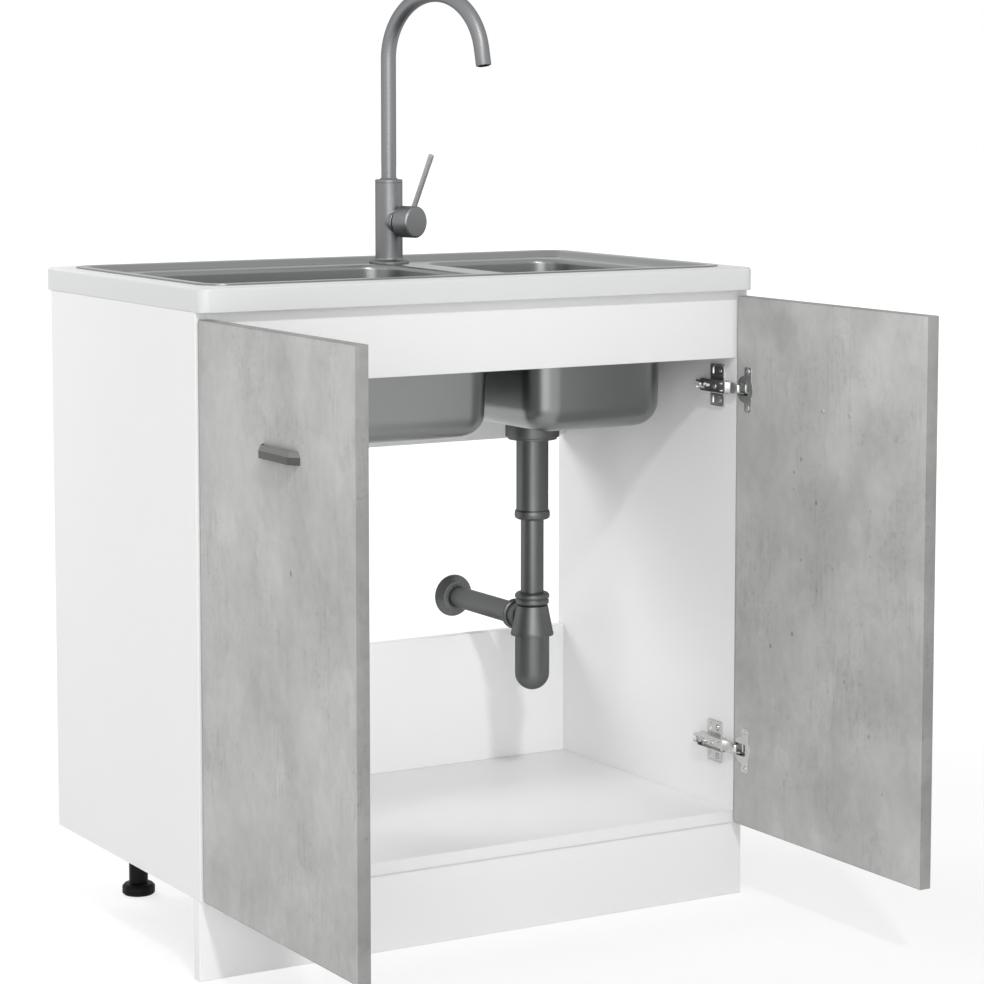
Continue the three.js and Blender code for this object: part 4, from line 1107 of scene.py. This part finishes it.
@dataclass(frozen=True)
class Tap:
    """The single lever mixer tap, made about its own axis with the spout towards -Y."""

    turn: float = 17.0
    sheet: float = 2.0
    flange: float = 27.5
    body: float = 18.8
    height: float = 115.0
    shank: float = 16.5
    shank_length: float = 45.0
    shank_end: float = -3.0
    thread_turns: int = 36
    thread_depth: float = 0.55
    thread_half_pitch: float = 1.1
    nut_corner: float = 24.8
    nut_height: float = 8.0
    nut_bevel: float = 0.8
    washer: float = 24.9
    washer_thick: float = 2.0
    lever_height: float = 58.0
    boss: float = 16.0
    boss_end: float = 19.0
    boss_weld: float = 1.6
    cartridge: float = 13.0
    spout: float = 10.3
    spout_gap: float = 0.3
    spout_seat: float = 28.0
    rise: float = 277.8
    bow: float = 87.0
    bow_turn: float = 170.0
    end: float = 24.0
    mouth: float = 8.6
    mouth_depth: float = 14.0
    cap_start: float = 25.5
    cap_end: float = 53.0
    cap: float = 21.6
    pin: float = 3.75
    pin_length: float = 77.0
    pin_lean: float = 25.0
    pin_drop: float = 4.6
    nozzle_rows: Outline = (
        (0, -11, 0), (8.2, -11, 0.5), (8.2, 0.6, 0.5), (7, 1, 0.3), (6.6, -1.2, 0.2), (5.6, -1.2, 0.2),
        (5.2, -0.4, 0.2), (4.2, -0.4, 0.2), (3.8, -1.2, 0.2), (2.8, -1.2, 0.2), (2.4, -0.4, 0.2),
        (0, -0.4, 0))

    def build(self) -> None:
        """Turns each piece with the tap, stands it on the deck and dresses it."""
        x, y, _ = middle("tap_lock_nut")
        deck = corners("tap_lock_nut")[1][2] + self.sheet
        for shell, name, body, finish, nodes in (
                (self.column(), "tap_column", "cabinet", TAP, ["tap_body"]),
                (self.nut(), "tap_lock_nut_hex", "cabinet", BRASS, ["tap_lock_nut"]),
                (self.tube(), "tap_spout_tube", "spout", TAP, ["tap_spout"]),
                (self.nozzle(), "tap_aerator_insert", "spout", BLACK, ["tap_aerator"]),
                (self.stem(), "tap_cartridge_stem", "mixer", TAP, ["tap_cartridge"]),
                (self.lever(), "tap_lever_cap", "lever", TAP, ["tap_lever"]),
                (self.lever_pin(), "tap_lever_pin", "lever", PIN_PAINTED_SHEEN, [])):
            dress(shell.turned(UP, self.turn).moved(x, y, deck), name, body, finish, nodes)

    def ahead(self, shell: Shell) -> Shell:
        """A shell turned about Z, laid towards the front at the lever's height."""
        return shell.turned(0, 90).moved(z=self.lever_height)

    def column(self) -> Shell:
        """The body: a turned column with a foot ring, a collar round the spout, and the lever's boss."""
        top, foot, bore = self.height, self.shank_end, self.spout + self.spout_gap
        column = lathe(rounded([
            (0, foot, 0), (self.shank, foot, 0), (self.shank, 0, 0), (self.flange, 0, 0.2),
            (self.flange, 2.6, 0.8), (self.flange - 3.2, 4.2, 1.2), (self.body + 1.6, 5, 1),
            (self.body, 7.5, 1.5), (self.body, top - 4.6, 0), (self.body - 0.35, top - 4.3, 0),
            (self.body, top - 4, 0), (self.body, top - 0.4, 1.1), (self.body - 1.4, top, 0.6),
            (self.spout + 2.6, top, 0.3), (bore, top + 2.6, 0.3), (bore, top - self.spout_seat, 0),
            (0, top - self.spout_seat, 0)]), 72)
        return fused(column, self.ahead(self.lever_boss())) + self.threaded_shank()

    def threaded_shank(self) -> Shell:
        """The shank below the deck, with a groove for every second row of its outline."""
        row = np.arange(self.thread_turns)
        thread = np.stack([self.shank - self.thread_depth * (row % 2),
                           -self.shank_length + 1 + row * self.thread_half_pitch], 1)
        start = [[0, -self.shank_length], [self.shank - 1, -self.shank_length]]
        end = [[self.shank - 0.6, self.shank_end], [0, self.shank_end]]
        return lathe(np.vstack([start, thread, end]), 48)

    def lever_boss(self) -> Shell:
        """The boss that carries the lever, grown out of the column with a hollow weld.

        A ring of radius r meets the column of radius R where the axis is sqrt(R^2 - (r cos t)^2) away.
        """
        count = 72
        t = np.linspace(0, math.tau, count, endpoint=False)
        share = np.linspace(0, 1, 7)[:, None]
        radius = self.boss + self.boss_weld * (1 - np.sin(share * math.pi / 2))
        lift = self.boss_weld * (1 - np.cos(share * math.pi / 2))
        wall = np.sqrt(np.maximum(self.body ** 2 - (radius * np.cos(t)) ** 2, 0))
        reach = np.minimum(wall - 0.05 + lift, self.boss_end - 0.6)
        weld = np.stack([radius * np.cos(t), radius * np.sin(t) * np.ones_like(reach), reach], 2)
        ends = [(self.boss, self.boss_end - 0.5), (self.boss - 0.5, self.boss_end),
                (self.cartridge + 0.5, self.boss_end), (self.cartridge + 0.4, self.boss_end - 0.4)]
        root = at_height(circle(1.0, count) * (self.boss + self.boss_weld), 2.0)
        rings = [root[None], weld, *[at_height(circle(1.0, count) * r, z)[None] for r, z in ends]]
        return skin(np.concatenate(rings), foot=True, head=True)

    def nut(self) -> Shell:
        """The lock nut under the deck: a six-sided nut on a round washer."""
        bore, bevel, washer = self.shank + 0.3, self.nut_bevel, self.washer
        face = -self.sheet
        high = face - self.washer_thick
        low = high - self.nut_height
        points = self.nut_corner * circle(1.0, 6)
        hexagon = rounded([(a, b, 2.5) for a, b in points], True, 7)
        ring = circle(bore, len(hexagon))
        rings = [at_height(ring, high), at_height(ring, low), at_height(inset(hexagon, bevel), low),
                 at_height(hexagon, low + bevel), at_height(hexagon, high)]
        body = skin(np.stack(rings), loop=True)
        return body + turned_ring([(bore, high, 0), (washer, high, 0.3), (washer, face, 0.3),
                                   (bore, face, 0)])

    def tube(self) -> Shell:
        """The spout: a ring of radius r carried up, round the bow and down, with a bore in its mouth.

        The bow's centre line is (-R (1 - cos a), rise + R sin a) for the lean a, square to the ring.
        """
        lean = np.radians(np.linspace(0, self.bow_turn, 73))
        y, z = -self.bow * (1 - np.cos(lean)), self.rise + self.bow * np.sin(lean)
        last = lean[-1]
        ends = self.end - np.array([self.end, 0.8, 0.3, 0, 0, self.mouth_depth])
        lean = np.concatenate([[0, 0], lean, np.full(len(ends), last)])
        y = np.concatenate([[0, 0], y, y[-1] - ends * math.sin(last)])
        seat = self.height - self.spout_seat + self.spout_gap
        z = np.concatenate([[seat, self.height], z, z[-1] + ends * math.cos(last)])
        radius = np.full(len(lean), self.spout)
        radius[-4:] = [self.spout - 0.2, self.spout - 0.8, self.mouth, self.mouth]
        t = np.arange(48) / 48 * math.tau
        c, s = np.outer(radius, np.cos(t)), np.outer(radius, np.sin(t))
        y, z, lean = y[:, None], z[:, None], lean[:, None]
        rings = np.stack([c, y + s * np.cos(lean), z + s * np.sin(lean)], 2)
        return skin(rings, foot=True, head=True)

    def nozzle(self) -> Shell:
        """The aerator's insert: a rim with a recessed mesh of rings in it."""
        lean = math.radians(self.bow_turn)
        y = -self.bow * (1 - math.cos(lean)) - self.end * math.sin(lean)
        z = self.rise + self.bow * math.sin(lean) + self.end * math.cos(lean)
        insert = lathe(rounded(self.nozzle_rows, steps=2), 40)
        return insert.turned(0, self.bow_turn).moved(y=y, z=z)

    def stem(self) -> Shell:
        """The cartridge's neck with a groove, and the two ears that hold the lever."""
        neck, groove = self.cartridge, self.cartridge - 0.7
        shell = turned_rod([(0, 3, 0), (neck, 3, 0.5), (neck, 21.2, 0.2), (groove, 21.5, 0),
                            (groove, 22.4, 0), (neck, 22.7, 0.2), (neck, 27.4, 0.6), (0, 28, 0)])
        for low, high in ((-8, -4), (4, 8)):
            shell += board((low, -4, 26), (high, 4, 37), 0.5)
        return self.ahead(shell + rod(2, -8, 8, 0.2).turned(1, 90).moved(z=33))

    def lever_pin(self) -> Shell:
        """The lever's pin, which leans out of the cap's top."""
        pin = turned_rod([(0, -3, 0), (self.pin, -3, 0), (self.pin, self.pin_length, 0.9),
                          (0, self.pin_length, 0)], 32)
        pin = pin.turned(0, self.pin_lean - 90)
        return self.ahead(pin.moved(y=self.cap, z=self.cap_end - self.pin_drop))

    def lever(self) -> Shell:
        """The lever's hollow cap, with the bar inside it that hangs on the cartridge."""
        start, end, floor, hollow = self.cap_start, self.cap_end, 41, 18
        cap = turned_rod([
            (0, floor, 0), (hollow, floor, 1), (hollow, start, 0.2), (self.cap - 1.6, start, 0.8),
            (self.cap, start + 1.6, 1), (self.cap, end - 2, 1.4), (self.cap - 2, end, 1.2),
            (0, end, 0)], 96)
        return self.ahead(cap + board((-3.5, -3.9, 29.1), (3.5, 3.9, 41.5), 0.6))


# The doors


@dataclass(frozen=True)
class Door:
    """A door with its edging, handle and hinges, made for the left side.

    On a leaf, a runs along Y, b up and c out of the inner face, so that a shell's on_leaf puts it in place.
    """

    band: float = 0.8
    cup: float = 17.5
    cup_gap: float = 0.2
    cup_depth: float = 12.2
    cup_inset: float = 19.0
    cup_flange: float = 18.3
    flange_thick: float = 1.2
    wing_offset: float = -6.6
    wing_width: float = 15.5
    wing_half: float = 30.0
    wing_screw: float = 24.0
    mouth_middle: float = 3.1
    mouth_half_a: float = 11.0
    mouth_half_b: float = 8.4
    pin: tuple[float, float] = (-390.4, -24.6)
    eye_half: float = 4.9
    neck_reach: float = 13.7
    neck_half: float = 7.4
    neck_thick: float = 2.4
    arm_front: float = -4.0
    arm_waist: float = 53.0
    arm_back: float = 64.0
    arm_half: float = 8.8
    arm_rise: float = 6.0
    tail_half: float = 6.0
    fork_half: float = 2.2
    fork_depth: float = 7.0
    plate_middle: float = 29.0
    plate_reach: float = 16.0
    plate_thick: float = 2.5
    plate_half: float = 28.5
    plate_screw: float = 19.5
    rail_rise: float = 5.9
    handle_inset: float = 216.0
    handle_length: float = 98.0
    handle_flat: float = 75.0
    stand_off: float = 10.0
    strip: float = 3.5
    below: float = 8.8
    above: float = 6.7
    post: float = 4.0
    post_rise: float = 1.2
    post_spacing: float = 56.0

    def build(self) -> None:
        """Dresses both doors."""
        for side in Side:
            self.leaf(side)
            self.handle(side)
            for place in ("low", "top"):
                self.hinge(side, place)

    def put(self, shell: Shell, side: Side, name: str, body: str, finish: Finish, nodes: Iterable[str] = (),
            sharp: float = SHARP) -> None:
        """Lays a shell that was drawn on a leaf in its place on one side, and dresses it."""
        dress(side.place(shell.on_leaf()), name, body, finish, nodes, sharp)

    def box(self) -> tuple[np.ndarray, np.ndarray]:
        """The left leaf's corners as (a, b, c)."""
        low, high = corners("door_left")
        return low[[1, 2, 0]], high[[1, 2, 0]]

    def level(self, place: str) -> float:
        """The height of a hinge's middle."""
        return float(middle(f"hinge_arm_{place}_left")[2])

    def leaf(self, side: Side) -> None:
        """The leaf with a blind bore for each hinge cup, and the edging round it."""
        low, high = self.box()
        least = 0.05
        faces = soft_edges(low[2], high[2], 0.15, 2)
        rings = Plan.between(low, high, 0.2, self.band).rings(faces, 2, least)
        shell = skin(rings, foot=True)
        mouths = []
        for place in ("low", "top"):
            flat = circle(self.cup + self.cup_gap, 64, high[0] - self.cup_inset, self.level(place))
            mouths.append(at_height(flat, high[2]))
            floor = at_height(flat, high[2] - self.cup_depth - self.cup_gap)
            shell += skin(np.stack([mouths[-1], floor]), head=True)
        shell += pierced(rings[-1], mouths, True)
        node = f"door_{side.value}"
        self.put(shell, side, f"{node}_leaf", node, CONCRETE, [node])
        seam = 0.02 - self.band
        profile = np.vstack([soft_edges(low[2], high[2], 0.5, 3), [[seam, high[2]], [seam, low[2]]]])
        edging = skin(Plan.between(low, high, 0.6).rings(profile, 3, least), loop=True)
        self.put(edging, side, f"{node}_edging", node, EDGING_PAINTED_SHADE)

    def handle(self, side: Side) -> None:
        """A bow of flat bar, bevelled above its crease, on two posts with screws through the leaf."""
        low, high = self.box()
        a, crease = high[0] - self.handle_inset, corners("handle_left")[1][2] - self.above
        half, flat, off = self.handle_length / 2, self.handle_flat / 2, self.stand_off
        path = rounded([(-half, 0.05, 0), (-flat, off, 5), (flat, off, 5), (half, 0.05, 0)], steps=8)
        strip, below, above = self.strip, self.below, self.above
        section = rounded([(0, -below, 0.4), (strip, -below, 0.4), (strip, above, 0.2),
                           (strip - 0.6, above, 0.25), (0, 0, 0.15)], True, 3)
        shell = carried(path * np.array([1.0, -1.0]), section).moved(a, crease, low[2])
        name, door = f"handle_{side.value}", f"door_{side.value}"
        post = rod(self.post, -0.2, off - strip + 0.4, 0, 32).turned(0, 180)
        for way, tag in ((-1, "front"), (1, "back")):
            x, y = a + way * self.post_spacing / 2, crease + self.post_rise
            shell += post.moved(x, y, low[2])
            screw = screw_head(3.4, 1.2, 0.8).moved(x, y, high[2])
            self.put(screw, side, f"{name}_screw_{tag}", door, ZINC)
        self.put(shell, side, f"{name}_bow", door, HANDLE, [name], 28)

    def hinge(self, side: Side, place: str) -> None:
        """A cup hinge: the cup on the leaf, and the arm and plate on the side panel."""
        for part, body, shell in (("cup", f"door_{side.value}", self.cup_shell()),
                                  ("arm", "cabinet", self.arm_shell()),
                                  ("plate", "cabinet", self.plate_shell())):
            node = f"hinge_{part}_{place}_{side.value}"
            self.put(shell.moved(y=self.level(place)), side, f"{node}_pressed", body, NICKEL, [node])

    def cup_shell(self) -> Shell:
        """The cup's drawn bowl, its flange with two wings, the screws and the lugs of the pivot."""
        _, high = self.box()
        r, thick, depth = self.cup_flange, self.flange_thick, self.cup_depth
        left, right = self.wing_offset - self.wing_width / 2, self.wing_offset + self.wing_width / 2
        near, far = math.sqrt(r * r - right * right), math.sqrt(r * r - left * left)
        east = np.linspace(-math.atan2(near, right), math.atan2(near, right), 40)
        west = np.linspace(math.atan2(far, left), math.tau - math.atan2(far, left), 24)
        arcs = [[(r * math.cos(t), r * math.sin(t), 0.0) for t in turn] for turn in (east, west)]
        half = self.wing_half
        outline = rounded([*arcs[0], (right, half, 3), (left, half, 3), *arcs[1], (left, -half, 3),
                           (right, -half, 3)], True, 5)
        mouth = oblong(self.mouth_middle, 0, self.mouth_half_a, self.mouth_half_b, 3)
        rings = np.stack([at_height(inset(outline, 0.15), 0), at_height(outline, 0.2),
                          at_height(outline, thick - 0.3), at_height(inset(outline, 0.3), thick)])
        well = np.stack([at_height(mouth, thick), at_height(mouth, 1.4 - depth)])
        wall = circle(self.cup, 64)
        bowl = np.stack([at_height(wall * 0.97, -depth), at_height(wall, 1 - depth), at_height(wall, 0)])
        shell = skin(rings) + pierced(rings[-1], [well[0]], True) + skin(well, head=True)
        shell += pierced(rings[0], [bowl[-1]], False) + skin(bowl, foot=True)
        for way, low_b, high_b in ((-1, -7.3, -5.3), (1, 5.3, 7.3)):
            shell += screw_head(3.6, 0.8, 0.7).moved(self.wing_offset, way * self.wing_screw, thick)
            shell += board((8.0, low_b, 1.3 - depth), (13.8, high_b, -1.5), 0.5)
        return shell.moved(high[0] - self.cup_inset, 0, high[2])

    def arm_shell(self) -> Shell:
        """The arm: a pressed channel with a forked tail and two screws, its neck and the pivot's eye."""
        panel, top = corners("side_panel_left")[1][0], corners("hinge_arm_low_left")[1][0] - 0.8
        front, waist, back = self.arm_front, self.arm_waist, self.arm_back
        half, tail, fork, root = self.arm_half, self.tail_half, self.fork_half, back - self.fork_depth
        outline = rounded([
            (front, -half, 1.2), (waist, -half, 1.2), (waist + 1.5, -tail, 0.8), (back, -tail, 1.2),
            (back, -fork, 0.6), (root, -fork, 1), (root, fork, 1), (back, fork, 0.6), (back, tail, 1.2),
            (waist + 1.5, tail, 0.8), (waist, half, 1.2), (front, half, 1.2)], True, 4)
        cuts = [oblong(34, 0, 5, 2.4, 2.2), *[oblong(4, way * 4.6, 4, 1, 0.9) for way in (-1, 1)]]
        shell = slab(outline, panel + self.arm_rise, top, 0.7, cuts, 2.6)
        for place in (20, 47):
            shell += screw_head(3.6, 1.0, 0.9).moved(place, 0, top)
        eye_x, eye_y = self.pin
        eye = rod(2.2, -self.eye_half, self.eye_half, 0.3) + rod(1.5, -7.2, 7.2, 0.3)
        return shell + self.neck_shell() + eye.turned(0, 90).moved(eye_y, 0, eye_x)

    def neck_shell(self) -> Shell:
        """The arm's neck: a strip that leaves the pivot, turns along the panel and widens."""
        eye_x, eye_y = self.pin
        line = eye_x + self.neck_reach
        path = rounded([(eye_y, eye_x, 0), (eye_y, line, 4), (self.arm_front + 3, line, 0)], steps=10)
        path = np.vstack([path[:-1], np.linspace(path[-2], path[-1], 10)[1:]])
        share = np.clip((path[:, 0] - eye_y - 4) / 4, 0, 1)
        width = self.eye_half + (self.neck_half - self.eye_half) * share * share * (3 - 2 * share)
        edge = oblong(0, 0, self.neck_thick / 2, 1, 0.35, 3)
        sign = np.where(edge[:, 1] > 0, 1.0, -1.0)
        sections = [np.stack([edge[:, 0], edge[:, 1] - sign + sign * half], 1) for half in width]
        return carried(path, np.stack(sections))

    def plate_shell(self) -> Shell:
        """The mounting plate: two wings with a slot and a screw each, and the raised rail under the arm."""
        panel = corners("side_panel_left")[1][0]
        centre, reach, half, screw = self.plate_middle, self.plate_reach, self.plate_half, self.plate_screw
        start, end, top = centre - reach, centre + reach, panel + self.plate_thick
        cuts = [oblong(end - 8, way * screw, 2, 5.5, 1.9) for way in (-1, 1)]
        cuts += [circle(4.6, 24, start + 9, way * screw) for way in (-1, 1)]
        shell = slab(oblong(centre, 0, reach, half, 2.5, 4), panel, top, 0.5, cuts, 1.1)
        shell += slab(oblong(32, 0, 28, 8.2, 2), panel, panel + self.rail_rise)
        for way in (-1, 1):
            shell += screw_head(3.7, 1.9, 1.2).moved(start + 9, way * screw, top - 1.1)
            ridge = oblong(centre, way * (half - 1.4), reach - 2.5, 0.9, 0.8)
            shell += slab(ridge, top - 0.2, top + 0.9, 0.3)
        return shell


# The studio


@dataclass(frozen=True)
class Lamp:
    """A square soft box that the camera doesn't see. Its place, target and size are in metres.

    One that isn't mirrored lights the object, but leaves no image of itself in the steel.
    """

    name: str
    place: tuple[float, float, float]
    target: tuple[float, float, float]
    size: float
    power: float
    mirrored: bool = True

    def build(self) -> None:
        """Puts the lamp in the scene, facing its target."""
        data = bpy.data.lights.new(self.name, "AREA")
        data.shape, data.size, data.energy = "SQUARE", self.size, self.power
        item = bpy.data.objects.new(self.name, data)
        bpy.context.scene.collection.objects.link(item)
        item.location = self.place
        item.visible_camera = False
        item.visible_glossy = self.mirrored
        x, y, z = np.array(self.target) - np.array(self.place)
        item.rotation_euler = (math.pi / 2 + math.atan2(z, math.hypot(x, y)), 0.0, math.atan2(-x, y))


@dataclass(frozen=True)
class Studio:
    """A pale floor under an even sky, five soft boxes, and the camera at the photograph's angle.

    The floor's and the camera's lengths are in metres.
    """

    sky: float = 0.5
    floor_colour: str = "#E6E6E6"
    floor_glow: float = 1.17
    floor_mix: float = 0.62
    floor_near: float = 0.9
    floor_far: float = 2.6
    floor_half: float = 30.0
    floor_drop: float = 0.0005
    lens: float = 110.413
    sensor: float = 36.0
    eye: tuple[float, float, float] = (-1.90827, -3.26399, 1.09094)
    yaw: float = -30.5266
    pitch: float = -5.9552
    shift_y: float = -0.1
    lamps: tuple[Lamp, ...] = (
        Lamp("key_front", (-1.45, -4.35, 4.15), (0.05, 0.1, 0.5), 0.35, 108.0),
        Lamp("fill_left", (-4.2, -0.6, 2.2), (0.0, 0.1, 0.5), 2.6, 10.0),
        Lamp("fill_camera", (-2.4, -3.9, 1.1), (0.0, 0.1, 0.45), 2.4, 58.0),
        Lamp("fill_back", (-0.7, 1.9, 1.55), (0.0, 0.1, 0.3), 1.0, 24.0, mirrored=False),
        Lamp("fill_inside", (-0.05, 0.1, 0.42), (0.12, 0.45, 0.3), 0.2, 0.35, mirrored=False),
    )

    def build(self) -> None:
        """Sets the camera, the sky, the floor and the lamps."""
        scene = bpy.context.scene
        data = bpy.data.cameras.new("camera")
        data.lens, data.shift_y, data.sensor_width = self.lens, self.shift_y, self.sensor
        camera = bpy.data.objects.new("camera", data)
        camera.location = self.eye
        camera.rotation_euler = (math.radians(90 + self.pitch), 0.0, math.radians(self.yaw))
        scene.collection.objects.link(camera)
        scene.camera = camera
        scene.view_settings.view_transform = "Standard"
        self.build_sky(scene)
        self.build_floor(scene)
        for lamp in self.lamps:
            lamp.build()

    def seen(self, tree: Tree) -> Node:
        """1 for a ray from the camera, from gloss or through glass, and 0 for others."""
        path = add(tree, "ShaderNodeLightPath").outputs
        rays = [path["Is Camera Ray"], path["Is Glossy Ray"]]
        near = add(tree, "ShaderNodeMath", rays, operation="MAXIMUM")
        return add(tree, "ShaderNodeMath", [near, path["Is Transmission Ray"]], operation="MAXIMUM")

    def build_sky(self, scene: bpy.types.Scene) -> None:
        """A white sky that lights at its own level and is seen as plain white."""
        world = bpy.data.worlds.new("sky")
        world.use_nodes = True
        scene.world = world
        tree = world.node_tree
        level = add(tree, "ShaderNodeMapRange", {0: self.seen(tree), 3: self.sky, 4: 1.0})
        ground = tree.nodes["Background"]
        ground.inputs["Color"].default_value = (1.0, 1.0, 1.0, 1.0)
        tree.links.new(level.outputs[0], ground.inputs["Strength"])

    def build_floor(self, scene: bpy.types.Scene) -> None:
        """A pale floor that keeps the cabinet's shadow and else runs into the white behind it."""
        half = self.floor_half
        data = bpy.data.meshes.new("floor")
        points = [(-half, -half, 0), (half, -half, 0), (half, half, 0), (-half, half, 0)]
        data.from_pydata(points, [], [(0, 1, 2, 3)])
        floor = bpy.data.objects.new("floor", data)
        floor.location.z = -self.floor_drop
        scene.collection.objects.link(floor)
        made = bpy.data.materials.new("floor_pale")
        made.use_nodes = True
        tree = made.node_tree
        tree.nodes.remove(tree.nodes["Principled BSDF"])
        matt = add(tree, "ShaderNodeBsdfDiffuse", {"Color": linear(self.floor_colour)})
        glow = add(tree, "ShaderNodeEmission", {"Strength": self.floor_glow})
        place = add(tree, "ShaderNodeTexCoord").outputs["Object"]
        away = add(tree, "ShaderNodeVectorMath", [place], operation="LENGTH").outputs["Value"]
        ends = [away, self.floor_near, self.floor_far, self.floor_mix, 1.0]
        whole = add(tree, "ShaderNodeMapRange", ends, interpolation_type="SMOOTHSTEP")
        share = add(tree, "ShaderNodeMath", [self.seen(tree), whole], operation="MULTIPLY")
        both = add(tree, "ShaderNodeMixShader", [share, matt, glow])
        tree.links.new(both.outputs[0], tree.nodes["Material Output"].inputs["Surface"])
        data.materials.append(made)


def main() -> None:
    """Builds the studio and every sub-assembly."""
    logging.basicConfig(level=logging.INFO, format="%(name)s: %(message)s")
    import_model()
    Studio().build()
    for part in (Carcass(), Sink(), Drain(), Tap(), Door()):
        part.build()


if __name__ == "__main__":
    main()
